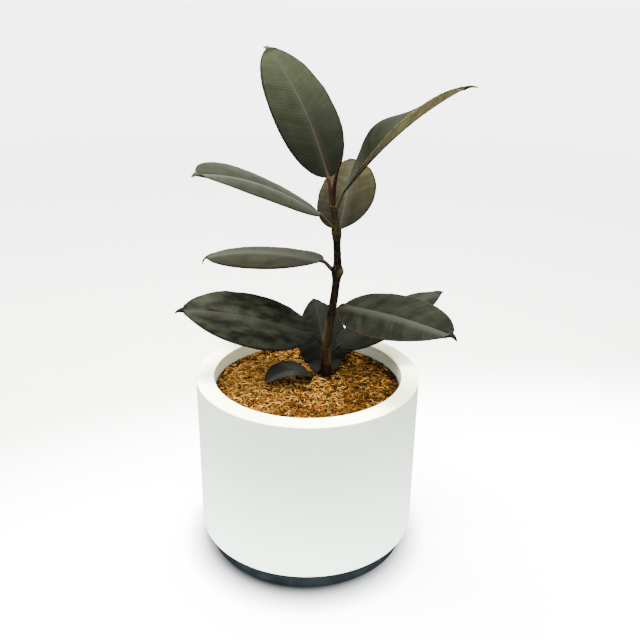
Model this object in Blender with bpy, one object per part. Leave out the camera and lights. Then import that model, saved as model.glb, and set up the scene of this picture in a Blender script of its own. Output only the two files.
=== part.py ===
"""A young rubber plant in a white drum planter.

Metres, +Z up. The origin is the centre of the planter foot's flat underside, and -Y is
the side that the planter is seen from. The plant stands a little behind and to the right
of the planter's middle, and leans as it grows. Each leaf is one solid, stalk and blade
together, whose stalk stops short of the stem by TOUCH.
"""
from dataclasses import dataclass
from math import cos, pi, radians, sin, tan

import bmesh
import bpy
import numpy as np

# Planter
PLANTER_RADIUS = 0.160
BODY_HEIGHT = 0.2372
WALL = 0.008
RIM_WIDTH = 0.0252
RIM_THICKNESS = 0.006
RIM_ROUNDING = 0.0016
SKIRT_THICKNESS = 0.005
SKIRT_DEPTH = 0.045
HEEL_ROUNDING = 0.003
FOOT_RADIUS = 0.148
FOOT_HEIGHT = 0.026

# Filling
LINER_RADIUS = 0.1335
LINER_BASE_RADIUS = 0.115
LINER_WALL = 0.0025
LINER_BELOW_RIM = 0.0187
MULCH_BELOW_RIM = 0.020
MULCH_DEPTH = 0.020

# Faces that touch keep this gap
TOUCH = 0.0003

# Levels, from the ground up
BODY_BOTTOM = FOOT_HEIGHT + TOUCH
FLOOR_TOP = BODY_BOTTOM + WALL
RIM = BODY_BOTTOM + BODY_HEIGHT
LINER_TOP = RIM - LINER_BELOW_RIM
LINER_BOTTOM = FLOOR_TOP + TOUCH
MULCH_TOP = RIM - MULCH_BELOW_RIM
SOIL_TOP = MULCH_TOP - MULCH_DEPTH - TOUCH
STEM_FOOT = MULCH_TOP + TOUCH

# Stem: height above the mulch, sideways place and diameter, from the foot to the top
STEM_SET_BACK = 0.035
STEM_COURSE = (
    (0.000, 0.0263, 0.0180),
    (0.027, 0.0262, 0.0156),
    (0.046, 0.0273, 0.0144),
    (0.076, 0.0307, 0.0132),
    (0.102, 0.0341, 0.0125),
    (0.130, 0.0378, 0.0118),
    (0.166, 0.0405, 0.0113),
    (0.200, 0.0392, 0.0106),
    (0.232, 0.0368, 0.0098),
    (0.256, 0.0327, 0.0092),
)
STEM_HEIGHT = STEM_COURSE[-1][0]

# Swollen joints of the stem: height, extra diameter and spread
SWELLINGS = (
    (0.160, 0.0050, 0.0090),
    (0.219, 0.0046, 0.0095),
)

# Bud: a sheath that narrows and leans ever faster towards its tip
BUD_HEIGHT = 0.066
BUD_RADIUS = 0.0030
BUD_TIP_RADIUS = 0.0006
BUD_TAPER_POWER = 2.2
BUD_LEAN = 0.0109
BUD_LEAN_POWER = 2.5

# Leaf blades: an oval outline, a rib below, and a narrow drip tip
BLADE_THICKNESS = 0.0022
RIB_DEPTH = 0.0018
RIB_TIP_DEPTH = 0.0003
ARCH_POWER = 1.3
OUTLINE_POWER = 2.1
OUTLINE_ROOT = 0.55
LIFT_SPREAD = 0.2
LOBE_SPAN = 0.09
POINT_LENGTH = 0.022
TAIL_HALF_WIDTH = 0.0030
TAIL_TIP_HALF_WIDTH = 0.0009

# Leaf stalks: how much thicker the foot is, and the slopes at which it can leave the stem
STALK_SWELL = 1.2
LOWEST_LAUNCH = -30
STEEPEST_LAUNCH = 82
STALK_CLEARANCE = 0.0008

# Fineness of the meshes
PLANTER_SEGMENTS = 48
FILLING_SEGMENTS = 32
STEM_SEGMENTS = 12
STEM_RINGS = 24
BUD_SEGMENTS = 8
BUD_RINGS = 9
BLADE_STATIONS = (0.012, 0.045, 0.10, 0.18, 0.28, 0.39, 0.50, 0.61, 0.72, 0.82, 0.90, 0.955, 0.988)
BLADE_COLUMNS = 3
STALK_RINGS = 5
TAIL_STEPS = 3


@dataclass
class Leaf:
    """A leaf's size and how it is carried.

    Heading is seen from above, 0 towards +X and 90 towards +Y. Angles are in degrees and
    the two halves of the blade are named as seen from above with the tip ahead.
    """

    name: str
    node: float         # height of its joint above the mulch
    reach: float        # from the stem's axis to the start of the blade
    climb: float        # slope of that line
    heading: float      # direction of the blade where it starts
    rise: float         # slope of the blade where it starts
    arch: float         # slope that it loses towards the tip
    sweep: float        # heading that it gains towards the tip
    roll: float         # turn about its own rib where it starts
    twist: float        # turn that it gains towards the tip
    fold: float         # how far both halves are raised along the rib
    unfold: float       # fold that is lost towards the tip
    curl: float         # bend of each half between rib and margin
    length: float
    width: float
    broad: float        # under 1 puts the widest place nearer the stem
    tail: float         # length of the narrow drip tip
    tail_fall: float    # slope that the drip tip loses
    stalk: float = 0.0022       # radius of the stalk
    lift: float = 0.0           # extra fold of the left half about lift_at
    lift_at: float = 0.5
    lobe_left: float = 0.0      # how far the left half reaches back beside the stalk
    lobe_right: float = 0.0
    point: float = 0.0          # how much narrower the blade is at its tip


LEAVES = (
    Leaf("crown_leaf", node=0.256, reach=0.0390, climb=72, heading=128, rise=63, arch=24, sweep=10,
         roll=23, twist=-7, fold=3, unfold=2, curl=-12, length=0.204, width=0.0945, broad=0.97,
         tail=0.010, tail_fall=55, stalk=0.0024),
    Leaf("upper_right_leaf", node=0.2585, reach=0.0252, climb=52.5, heading=-6, rise=52.6, arch=23, sweep=-9,
         roll=-3, twist=11, fold=11, unfold=-4, curl=0, length=0.205, width=0.0905, broad=1.0,
         tail=0.017, tail_fall=45, stalk=0.0024, lift=29, lift_at=0.38),
    Leaf("upper_left_leaf", node=0.230, reach=0.0335, climb=34, heading=210, rise=34, arch=27.5, sweep=12,
         roll=15, twist=5, fold=9, unfold=-4, curl=-28, length=0.199, width=0.090, broad=0.95,
         tail=0.009, tail_fall=42),
    Leaf("upper_back_leaf", node=0.207, reach=0.0270, climb=19, heading=80, rise=20, arch=2, sweep=6,
         roll=11, twist=-2, fold=4, unfold=1, curl=-6, length=0.196, width=0.0895, broad=0.95,
         tail=0.010, tail_fall=30),
    Leaf("middle_left_leaf", node=0.167, reach=0.0248, climb=13.5, heading=152, rise=3, arch=20, sweep=10,
         roll=3, twist=4, fold=6, unfold=0, curl=-34, length=0.190, width=0.090, broad=0.95,
         tail=0.017, tail_fall=66, stalk=0.0030),
    Leaf("lower_right_leaf", node=0.104, reach=0.0290, climb=28, heading=-52, rise=11, arch=12, sweep=4,
         roll=-30, twist=14, fold=1, unfold=-6, curl=-15, length=0.197, width=0.091, broad=0.94,
         tail=0.011, tail_fall=50, stalk=0.0027, lobe_right=1.2),
    Leaf("lower_left_leaf", node=0.053, reach=0.0260, climb=26, heading=188, rise=23, arch=16.5, sweep=8,
         roll=39, twist=-9, fold=-2, unfold=-2, curl=-13, length=0.192, width=0.096, broad=0.97,
         tail=0.012, tail_fall=48, point=0.25),
    Leaf("lower_back_right_leaf", node=0.035, reach=0.0205, climb=15, heading=22, rise=29, arch=17, sweep=-3,
         roll=-6, twist=6, fold=-1, unfold=-1, curl=-12, length=0.180, width=0.088, broad=0.90,
         tail=0.006, tail_fall=20, point=0.25),
    Leaf("foot_back_leaf", node=0.003, reach=0.0152, climb=9, heading=93, rise=29, arch=19, sweep=8,
         roll=9, twist=4, fold=-7, unfold=4, curl=-21, length=0.150, width=0.082, broad=0.79,
         tail=0.007, tail_fall=20, stalk=0.0018, lobe_left=2.0, lobe_right=2.0),
    Leaf("foot_small_leaf", node=0.010, reach=0.0260, climb=-18, heading=212, rise=39, arch=80, sweep=-10,
         roll=11, twist=-12, fold=4, unfold=-4, curl=9, length=0.081, width=0.047, broad=0.96,
         tail=0.0, tail_fall=0, stalk=0.0014),
)


def material(name, colour, roughness):
    """A plain surface in the colour that the piece has."""
    mat = bpy.data.materials.new(name)
    mat.use_nodes = True
    shader = mat.node_tree.nodes["Principled BSDF"]
    shader.inputs["Base Color"].default_value = (*colour, 1.0)
    shader.inputs["Roughness"].default_value = roughness
    shader.inputs["Metallic"].default_value = 0.0
    return mat


def add_object(name, bm, mat, sharp_angle=40):
    """Turn a finished bmesh into a smooth-shaded object whose sharp edges stay sharp."""
    bmesh.ops.recalc_face_normals(bm, faces=bm.faces)
    bmesh.ops.triangulate(bm, faces=bm.faces)
    mesh = bpy.data.meshes.new(name)
    bm.to_mesh(mesh)
    bm.free()
    mesh.shade_smooth()
    mesh.set_sharp_from_angle(angle=radians(sharp_angle))
    mesh.materials.append(mat)
    obj = bpy.data.objects.new(name, mesh)
    bpy.context.collection.objects.link(obj)
    return obj


def round_corners(corners, steps=3):
    """Replace each corner (radius, height, rounding) of a profile by a circular arc."""
    points = []
    for i, (r, z, rounding) in enumerate(corners):
        if not rounding:
            points.append((r, z))
            continue
        here = np.array((r, z))
        before = np.array(corners[i - 1][:2]) - here
        after = np.array(corners[i + 1][:2]) - here
        before /= np.linalg.norm(before)
        after /= np.linalg.norm(after)
        half = np.arccos(np.clip(before @ after, -1, 1)) / 2
        middle = (before + after) / np.linalg.norm(before + after)
        centre = here + middle * rounding / sin(half)
        start = here + before * rounding / tan(half) - centre
        end = here + after * rounding / tan(half) - centre
        turn = pi - 2 * half
        for k in range(steps + 1):
            t = k / steps
            spoke = (sin((1 - t) * turn) * start + sin(t * turn) * end) / sin(turn)
            points.append(tuple(centre + spoke))
    return points


def turned(name, corners, mat, segments):
    """Spin a profile that starts and ends on the axis into one closed body."""
    bm = bmesh.new()
    verts = [bm.verts.new((r, 0.0, z)) for r, z in round_corners(corners)]
    edges = [bm.edges.new(pair) for pair in zip(verts, verts[1:])]
    bmesh.ops.spin(bm, geom=verts + edges, axis=(0, 0, 1), cent=(0, 0, 0), angle=2 * pi, steps=segments)
    bmesh.ops.remove_doubles(bm, verts=bm.verts, dist=0.00005)
    return add_object(name, bm, mat)


def loft(name, rings, mat):
    """Join rings of points, each a closed loop of the same count, and close both ends."""
    bm = bmesh.new()
    loops = [[bm.verts.new(point) for point in ring] for ring in rings]
    for near, far in zip(loops, loops[1:]):
        for i, vert in enumerate(near):
            j = (i + 1) % len(near)
            bm.faces.new((vert, near[j], far[j], far[i]))
    bm.faces.new(loops[0])
    bm.faces.new(loops[-1])
    return add_object(name, bm, mat)


def make_planter(white, black):
    """The white drum with its returned rim, and the recessed foot that it stands on."""
    inner = PLANTER_RADIUS - WALL
    mouth = PLANTER_RADIUS - RIM_WIDTH
    skirt = mouth + SKIRT_THICKNESS
    turned("planter_shell", (
        (0, FLOOR_TOP, 0),
        (inner, FLOOR_TOP, HEEL_ROUNDING),
        (inner, RIM - RIM_THICKNESS, 0),
        (skirt, RIM - RIM_THICKNESS, 0),
        (skirt, RIM - SKIRT_DEPTH, 0),
        (mouth, RIM - SKIRT_DEPTH, 0),
        (mouth, RIM, RIM_ROUNDING),
        (PLANTER_RADIUS, RIM, RIM_ROUNDING),
        (PLANTER_RADIUS, BODY_BOTTOM, HEEL_ROUNDING),
        (0, BODY_BOTTOM, 0),
    ), white, PLANTER_SEGMENTS)
    turned("planter_foot", (
        (0, FOOT_HEIGHT, 0),
        (FOOT_RADIUS, FOOT_HEIGHT, 0),
        (FOOT_RADIUS, 0, 0.001),
        (0, 0, 0),
    ), black, FILLING_SEGMENTS)


def liner_radius(height):
    """Outer radius of the tapered liner at a height."""
    along = (height - LINER_BOTTOM) / (LINER_TOP - LINER_BOTTOM)
    return LINER_BASE_RADIUS + (LINER_RADIUS - LINER_BASE_RADIUS) * along


def filling_radius(height):
    """Radius that what fills the liner has at a height."""
    return liner_radius(height) - LINER_WALL - TOUCH


def make_filling(black, soil, mulch):
    """The nursery liner inside the planter, its potting soil and the mulch on top."""
    floor = LINER_BOTTOM + LINER_WALL
    turned("nursery_liner", (
        (0, floor, 0),
        (liner_radius(floor) - LINER_WALL, floor, 0),
        (LINER_RADIUS - LINER_WALL, LINER_TOP, 0),
        (LINER_RADIUS, LINER_TOP, 0),
        (LINER_BASE_RADIUS, LINER_BOTTOM, 0),
        (0, LINER_BOTTOM, 0),
    ), black, FILLING_SEGMENTS)
    for name, top, bottom, mat in (
        ("potting_soil", SOIL_TOP, floor + TOUCH, soil),
        ("mulch_bed", MULCH_TOP, MULCH_TOP - MULCH_DEPTH, mulch),
    ):
        turned(name, (
            (0, top, 0),
            (filling_radius(top), top, 0),
            (filling_radius(bottom), bottom, 0),
            (0, bottom, 0),
        ), mat, FILLING_SEGMENTS)


def stem_at(height):
    """Sideways place and diameter of the stem, on a smooth curve through its course."""
    heights = [row[0] for row in STEM_COURSE]
    last = len(heights) - 2
    i = min(max(int(np.searchsorted(heights, height)) - 1, 0), last)
    span = heights[i + 1] - heights[i]
    t = min(max((height - heights[i]) / span, 0.0), 1.0)
    values = []
    for column in (1, 2):
        here, there = STEM_COURSE[i][column], STEM_COURSE[i + 1][column]
        slopes = []
        for k in (i, i + 1):
            low, high = STEM_COURSE[max(k - 1, 0)], STEM_COURSE[min(k + 1, last + 1)]
            slopes.append((high[column] - low[column]) / (high[0] - low[0]) * span)
        values.append((2 * t**3 - 3 * t**2 + 1) * here + (t**3 - 2 * t**2 + t) * slopes[0]
                      + (3 * t**2 - 2 * t**3) * there + (t**3 - t**2) * slopes[1])
    place, diameter = values
    for centre, extra, spread in SWELLINGS:
        diameter += extra * np.exp(-((height - centre) / spread) ** 2)
    return place, diameter


def stem_axis(height):
    """Point on the stem's axis at a height above its foot."""
    return np.array((stem_at(height)[0], STEM_SET_BACK, STEM_FOOT + height))


def ring_points(centre, side, up, radius, count):
    """A regular polygon about a centre, its first corner just above the left side."""
    angles = pi - (np.arange(count) + 0.5) * 2 * pi / count
    return centre + radius * (np.outer(np.cos(angles), side) + np.outer(np.sin(angles), up))


def make_stem(bark):
    """The stem, with its taper, lean, flared foot, flat cut and swollen joints."""
    side, back = np.array((1.0, 0, 0)), np.array((0, 1.0, 0))
    rings = []
    for height in np.linspace(0, STEM_HEIGHT, STEM_RINGS):
        radius = stem_at(height)[1] / 2
        rings.append(ring_points(stem_axis(height), side, back, radius, STEM_SEGMENTS))
    loft("main_stem", rings, bark)


def make_bud(sheath):
    """The pointed sheath of the next leaf, standing on the stem's top."""
    side, back = np.array((1.0, 0, 0)), np.array((0, 1.0, 0))
    foot = stem_axis(STEM_HEIGHT) + (0, 0, TOUCH)
    rings = []
    for along in np.linspace(0, 1, BUD_RINGS):
        radius = BUD_TIP_RADIUS + (BUD_RADIUS - BUD_TIP_RADIUS) * (1 - along**BUD_TAPER_POWER)
        centre = foot + (BUD_LEAN * along**BUD_LEAN_POWER, 0, BUD_HEIGHT * along)
        rings.append(ring_points(centre, side, back, radius, BUD_SEGMENTS))
    loft("terminal_bud", rings, sheath)


def direction(heading, slope):
    """Unit vector of a heading and a slope, both in radians."""
    return np.array((cos(slope) * cos(heading), cos(slope) * sin(heading), sin(slope)))


def outline_half_width(leaf, along):
    """Half the blade's width where along is 0 at its start and 1 where the drip tip starts."""
    t = 2 * min(along, 1.0) ** leaf.broad - 1
    narrowed = 1 - leaf.point * np.exp((along - 1) * leaf.length / POINT_LENGTH)
    return leaf.width / 2 * max(1 - abs(t) ** OUTLINE_POWER, 0) ** OUTLINE_ROOT * narrowed


def blade_frame(leaf, along):
    """The blade's forward, side and upward directions at a place along it."""
    heading = radians(leaf.heading + leaf.sweep * along)
    slope = radians(leaf.rise - leaf.arch * along**ARCH_POWER)
    roll = radians(leaf.roll + leaf.twist * along)
    forward = direction(heading, slope)
    flat = np.array((sin(heading), -cos(heading), 0.0))
    square = np.cross(flat, forward)
    side = cos(roll) * flat + sin(roll) * square
    up = cos(roll) * square - sin(roll) * flat
    return forward, side, up


def blade_ring(leaf, along, rib_point, half, frame):
    """One closed cross-section of the blade: over the top to the right, and back below."""
    side, up = frame
    share = half / (leaf.width / 2)
    lifted = leaf.lift * np.exp(-(((along - leaf.lift_at) / LIFT_SPREAD) ** 2))
    top = {0: rib_point + up * BLADE_THICKNESS / 2}
    rib = RIB_DEPTH + (RIB_TIP_DEPTH - RIB_DEPTH) * along
    below = {0: rib_point - up * (BLADE_THICKNESS / 2 + rib * share**0.5)}
    back = -half * max(1 - along / LOBE_SPAN, 0) ** 2 * direction(radians(leaf.heading), 0.0)
    for sign in (1, -1):
        lobe = leaf.lobe_right if sign > 0 else leaf.lobe_left
        fold = leaf.fold - leaf.unfold * along + (lifted if sign < 0 else 0.0)
        point = rib_point
        for k in range(BLADE_COLUMNS):
            step = radians(fold + leaf.curl * share * (k + 0.5) / BLADE_COLUMNS)
            edge = radians(fold + leaf.curl * share * (k + 1) / BLADE_COLUMNS)
            point = point + half / BLADE_COLUMNS * (cos(step) * sign * side + sin(step) * up)
            normal = cos(edge) * up - sin(edge) * sign * side
            swept = point + back * lobe * ((k + 1) / BLADE_COLUMNS) ** 2
            top[sign * (k + 1)] = swept + normal * BLADE_THICKNESS / 2
            below[sign * (k + 1)] = swept - normal * BLADE_THICKNESS / 2
    order = range(-BLADE_COLUMNS, BLADE_COLUMNS + 1)
    return [top[k] for k in order] + [below[k] for k in reversed(order)]


def rib_line(leaf, stations, base, steps=48):
    """Points of the rib at the stations, by walking along the blade from its base."""
    places = np.linspace(0, 1, steps + 1)
    ahead = np.array([blade_frame(leaf, s)[0] for s in places])
    walk = np.vstack((np.zeros(3), np.cumsum((ahead[1:] + ahead[:-1]) / 2, axis=0) * leaf.length / steps))
    return [base + np.array([np.interp(s, places, walk[:, i]) for i in range(3)]) for s in stations]


def stalk_rings(leaf, base):
    """Rings of the stalk, curving from the stem's surface into the blade's start."""
    count = 2 * (2 * BLADE_COLUMNS + 1)
    swell = leaf.stalk * STALK_SWELL
    ahead, blade_side, blade_up = blade_frame(leaf, 0.0)
    heading = radians(leaf.heading)
    outward = direction(heading, 0.0)
    stem_radius = stem_at(leaf.node)[1] / 2
    run = (base - stem_axis(leaf.node)) @ outward - stem_radius - leaf.stalk
    chord = np.degrees(np.arctan2(base[2] - stem_axis(leaf.node)[2], run))
    launch = radians(min(max(2 * chord - leaf.rise, LOWEST_LAUNCH), STEEPEST_LAUNCH))
    drop = max(2 * swell * sin(launch), 0)
    height = max(leaf.node - drop, swell + STALK_CLEARANCE)
    clear = TOUCH + max(stem_at(height + swell * cos(launch) * c)[1] / 2 + swell * sin(launch) * c
                        for c in (-1, -0.5, 0, 0.5, 1))
    foot = stem_axis(height) + outward * clear
    start_side = np.array((sin(heading), -cos(heading), 0.0))
    start_ahead = direction(heading, launch)
    reach = np.linalg.norm(base - foot) / 3
    controls = (foot, foot + start_ahead * reach, base - ahead * reach, base)
    rings = []
    for t in np.linspace(0, 1, STALK_RINGS):
        weights = ((1 - t) ** 3, 3 * t * (1 - t) ** 2, 3 * t**2 * (1 - t), t**3)
        centre = sum(w * c for w, c in zip(weights, controls))
        turn = t * t * (3 - 2 * t)
        forward = (1 - turn) * start_ahead + turn * ahead
        forward /= np.linalg.norm(forward)
        side = (1 - turn) * start_side + turn * blade_side
        side -= forward * (side @ forward)
        side /= np.linalg.norm(side)
        radius = swell + (leaf.stalk - swell) * min(2 * t, 1)
        rings.append(ring_points(centre, side, np.cross(side, forward), radius, count))
    return rings


def tail_rings(leaf, start):
    """Rings of the drip tip, which bends down beyond the end of the blade."""
    rings = []
    point = start
    forward, side, up = blade_frame(leaf, 1.0)
    slope = np.arcsin(forward[2])
    heading = np.arctan2(forward[1], forward[0])
    for k in range(TAIL_STEPS + 1):
        t = k / TAIL_STEPS
        half = TAIL_HALF_WIDTH + (TAIL_TIP_HALF_WIDTH - TAIL_HALF_WIDTH) * t
        forward = direction(heading, slope - radians(leaf.tail_fall) * t)
        up = np.cross(side, forward)
        up /= np.linalg.norm(up)
        if k:
            point = point + forward * leaf.tail / TAIL_STEPS
        rings.append(blade_ring(leaf, 1.0, point, half, (side, up)))
    return rings


def make_leaf(leaf, green):
    """One leaf: its stalk, its blade and its drip tip in one closed body."""
    base = stem_axis(leaf.node) + leaf.reach * direction(radians(leaf.heading), radians(leaf.climb))
    rings = stalk_rings(leaf, base)
    stations = (*BLADE_STATIONS, 1.0)
    points = rib_line(leaf, stations, base)
    for along, point in zip(BLADE_STATIONS, points):
        half = outline_half_width(leaf, along)
        rings.append(blade_ring(leaf, along, point, half, blade_frame(leaf, along)[1:]))
    if leaf.tail:
        rings.extend(tail_rings(leaf, points[-1]))
    else:
        frame = blade_frame(leaf, 1.0)[1:]
        rings.append(blade_ring(leaf, 1.0, points[-1], TAIL_TIP_HALF_WIDTH, frame))
    loft(leaf.name, rings, green)


def main():
    for obj in list(bpy.data.objects):
        bpy.data.objects.remove(obj)
    white = material("planter_white", (0.80, 0.81, 0.79), 0.40)
    black = material("liner_black", (0.02, 0.02, 0.02), 0.60)
    soil = material("soil_brown", (0.05, 0.03, 0.02), 0.95)
    mulch = material("mulch_tan", (0.42, 0.24, 0.08), 0.90)
    bark = material("stem_brown", (0.09, 0.04, 0.02), 0.65)
    sheath = material("bud_maroon", (0.12, 0.03, 0.02), 0.45)
    green = material("leaf_green", (0.035, 0.055, 0.035), 0.38)
    make_planter(white, black)
    make_filling(black, soil, mulch)
    make_stem(bark)
    make_bud(sheath)
    for leaf in LEAVES:
        make_leaf(leaf, green)


main()
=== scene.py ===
"""A young rubber plant in a white drum planter, with its mulch, stem, bud and leaves.

Metres, +Z up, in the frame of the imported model: the origin is the centre of the planter
foot's underside, and the planter is seen from the -Y side. Sizes of the planter, its
filling and the stem's foot are read from that model. The leaves grow on the stem by the
same rule as the model's own, carried to finer forms: a rib with its keel, side veins,
a turned-down margin and a narrow drip tip.
"""

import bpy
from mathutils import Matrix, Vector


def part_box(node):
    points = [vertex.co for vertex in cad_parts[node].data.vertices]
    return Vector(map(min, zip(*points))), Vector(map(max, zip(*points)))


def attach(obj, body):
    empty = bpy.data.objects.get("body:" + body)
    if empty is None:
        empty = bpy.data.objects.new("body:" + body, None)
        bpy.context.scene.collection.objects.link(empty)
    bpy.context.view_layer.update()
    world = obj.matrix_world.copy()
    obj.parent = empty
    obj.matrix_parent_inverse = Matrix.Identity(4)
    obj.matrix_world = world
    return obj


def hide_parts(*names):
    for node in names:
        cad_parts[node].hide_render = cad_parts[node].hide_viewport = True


bl_info = {
    "name": "Potted rubber plant",
    "version": (1, 0, 0),
    "blender": (4, 5, 0),
    "location": "View3D > Sidebar > Rubber plant",
    "description": "Builds a young rubber plant in its mulched drum planter",
    "category": "Add Mesh",
}

from dataclasses import dataclass
from math import cos, pi, radians, sin
from types import SimpleNamespace

import bmesh
import bpy
import numpy as np
from bpy.props import FloatProperty, FloatVectorProperty, IntProperty, PointerProperty
from mathutils import Matrix, Vector, noise

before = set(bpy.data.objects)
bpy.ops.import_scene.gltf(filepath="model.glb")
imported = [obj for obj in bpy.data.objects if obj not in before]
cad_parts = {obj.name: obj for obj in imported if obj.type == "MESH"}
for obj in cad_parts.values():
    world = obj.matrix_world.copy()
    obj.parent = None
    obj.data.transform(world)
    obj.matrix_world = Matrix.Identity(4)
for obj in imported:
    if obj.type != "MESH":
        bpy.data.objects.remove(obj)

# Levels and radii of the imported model
SHELL_LOW, SHELL_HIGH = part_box("planter_shell")
FOOT_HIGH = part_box("planter_foot")[1]
LINER_LOW, LINER_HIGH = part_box("nursery_liner")
MULCH_LOW, MULCH_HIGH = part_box("mulch_bed")
PLANTER_RADIUS = SHELL_HIGH.x
RIM = SHELL_HIGH.z
BODY_BOTTOM = SHELL_LOW.z
MULCH_TOP = MULCH_HIGH.z
STEM_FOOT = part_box("main_stem")[0].z

# Planter
WALL = 0.008
RIM_WIDTH = 0.0252
RIM_THICKNESS = 0.006
MOUTH_RADIUS = PLANTER_RADIUS - RIM_WIDTH
SKIRT_THICKNESS = 0.005
SKIRT_DEPTH = 0.045
SKIRT_ROUNDING = 0.0008
PLANTER_SIDES = 192

# Foot: share of its height below the groove, and the groove's depth
FOOT_BAND = 0.6
FOOT_GROOVE = 0.0015
FOOT_ROUNDING = 0.0008

# Filling
LINER_BASE_RADIUS = 0.115
LINER_WALL = 0.0025
LINER_ROUNDING = 0.0009
FILLING_SIDES = 144
FILLING_RADIUS = MULCH_HIGH.x
BED_RADIUS = FILLING_RADIUS - 0.001
BED_BORDER = 0.003
BED_RINGS = 44
BED_BUMP_SIZE = 0.006

# How far a face or an edge may lie from the level or the radius that it is looked for at
LEVEL_SLACK = 1e-4
RADIUS_SLACK = 2e-4

# Faces that touch keep this gap
TOUCH = 0.0003

# Stem: height above the mulch, sideways place and diameter, from the foot to the top
STEM_SET_BACK = 0.035
STEM_COURSE = (
    (0.000, 0.0263, 0.0180),
    (0.027, 0.0262, 0.0156),
    (0.046, 0.0273, 0.0144),
    (0.076, 0.0307, 0.0132),
    (0.102, 0.0341, 0.0125),
    (0.130, 0.0378, 0.0118),
    (0.166, 0.0405, 0.0113),
    (0.200, 0.0392, 0.0106),
    (0.232, 0.0368, 0.0098),
    (0.256, 0.0327, 0.0092),
)
STEM_HEIGHT = STEM_COURSE[-1][0]

# Swollen joints of the stem: height, extra diameter and spread
SWELLINGS = (
    (0.160, 0.0050, 0.0090),
    (0.219, 0.0046, 0.0095),
)

# Rings left on the stem where leaves and their sheaths were: height above the mulch
SCAR_HEIGHTS = (
    0.019, 0.029, 0.041, 0.058, 0.078, 0.092, 0.109, 0.127, 0.146, 0.171, 0.188, 0.211, 0.234, 0.250,
)
SCAR_WIDTH = 0.00055
SCAR_SLANT = 0.0007
SCAR_GROOVE_ABOVE = 0.0014
SCAR_GROOVE_WIDTH = 0.0008
SCAR_GROOVE_SHARE = 0.5
SCAR_TURN = 2.4
SCAR_CORK = 0.7

# Relief of the bark: flutes at the foot, a side bud (height and spread), and corky pores
FLUTES = 5
FLUTE_DEPTH = 0.0006
FLUTE_FADE = 0.012
FLUTE_TURN = 0.8
YOUNG_RIDGES = 0.25
SIDE_BUD_DEPTH = 0.0015
SIDE_BUD_PLACE = (0.161, 0.0055)
SIDE_BUD_TURN = 0.3
PORE_COUNT = 150
PORE_HEIGHTS = (0.004, 0.20)
PORE_SIZES = (0.6, 1.2)
PORE_REACH = 0.002
PORE_WIDTH = 0.00085
PORE_LENGTH = 0.0005
OLD_BARK_TOP = 0.17
STEM_SIDES = 56
STEM_RINGS = 340

# Bud
BUD_HEIGHT = 0.066
BUD_RADIUS = 0.0030
BUD_TIP_RADIUS = 0.0006
BUD_TAPER_POWER = 2.2
BUD_LEAN = 0.0109
BUD_LEAN_POWER = 2.5
BUD_TIP_START = 0.985
BUD_SUNK = 0.001
SEAM_START = 2.2
SEAM_TURN = 3.0
SEAM_STEP = 0.10
BUD_FOLDS = 6
BUD_FOLD_TURN = 4
BUD_FOLD_DEPTH = 0.02
BUD_SIDES = 32
BUD_RINGS = 90

# Leaf blades
ARCH_POWER = 1.3
OUTLINE_POWER = 2.1
OUTLINE_ROOT = 0.55
LIFT_SPREAD = 0.2
LOBE_SPAN = 0.09
POINT_LENGTH = 0.022
TAIL_HALF_WIDTH = 0.0030
TAIL_TIP_HALF_WIDTH = 0.0009
TAIL_TAPER_POWER = 0.8
TAIL_THICKNESS = 0.75
TAIL_JOIN = 0.006
NECK_START = 0.02
NECK_LENGTH = 0.012
NECK_SPREAD = 0.35
VEIN_LEAN = 0.42
VEIN_BEND = 2.4
QUILT_FROM_RIB = 0.004
QUILT_FROM_MARGIN = 0.12
TURN_START = 0.955
EDGE_ROUNDING = 0.45
OPENING = 2.5
FIRST_RING = 0.003
RING_SQUEEZE = 0.55
COLUMN_SQUEEZE = 0.72
BLADE_RINGS = 236
BLADE_COLUMNS = 16
STALK_RINGS = 26
TAIL_RINGS = 14

# The rib: stalk that the keel's depth is given for, and where keel, crest and groove start and end
KEEL_STALK = 0.0022
KEEL_LEAST = 0.0003
KEEL_TAPER_POWER = 0.8
KEEL_START = 0.03
CREST_SPAN = 0.055
GROOVE_START = 0.08
GROOVE_WIDTH = 0.0011

# Waves of the margin: how many to a blade, and the height of the short ones beside the long ones
LONG_WAVES = 7.0
SHORT_WAVES = 19.0
SHORT_WAVE_SHARE = 0.4

# Low bumps of the oldest blades: size along and across, and the way from the rib
BUMP_LENGTH = 0.013
BUMP_WIDTH = 0.018
BUMPS_FROM_RIB = 0.012

# Leaf stalks
STALK_SWELL = 1.2
STALK_SWELL_SPAN = 0.22
STALK_END_SWELL = 0.05
STALK_END_SPAN = 0.1
STALK_CHANNEL = 0.16
LOWEST_LAUNCH = -30
STEEPEST_LAUNCH = 82
STALK_CLEARANCE = 0.0008
STALK_SUNK = 0.0012
STALK_SUNK_SHARE = 0.8
STALK_FROM_EDGE = 0.01


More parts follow.
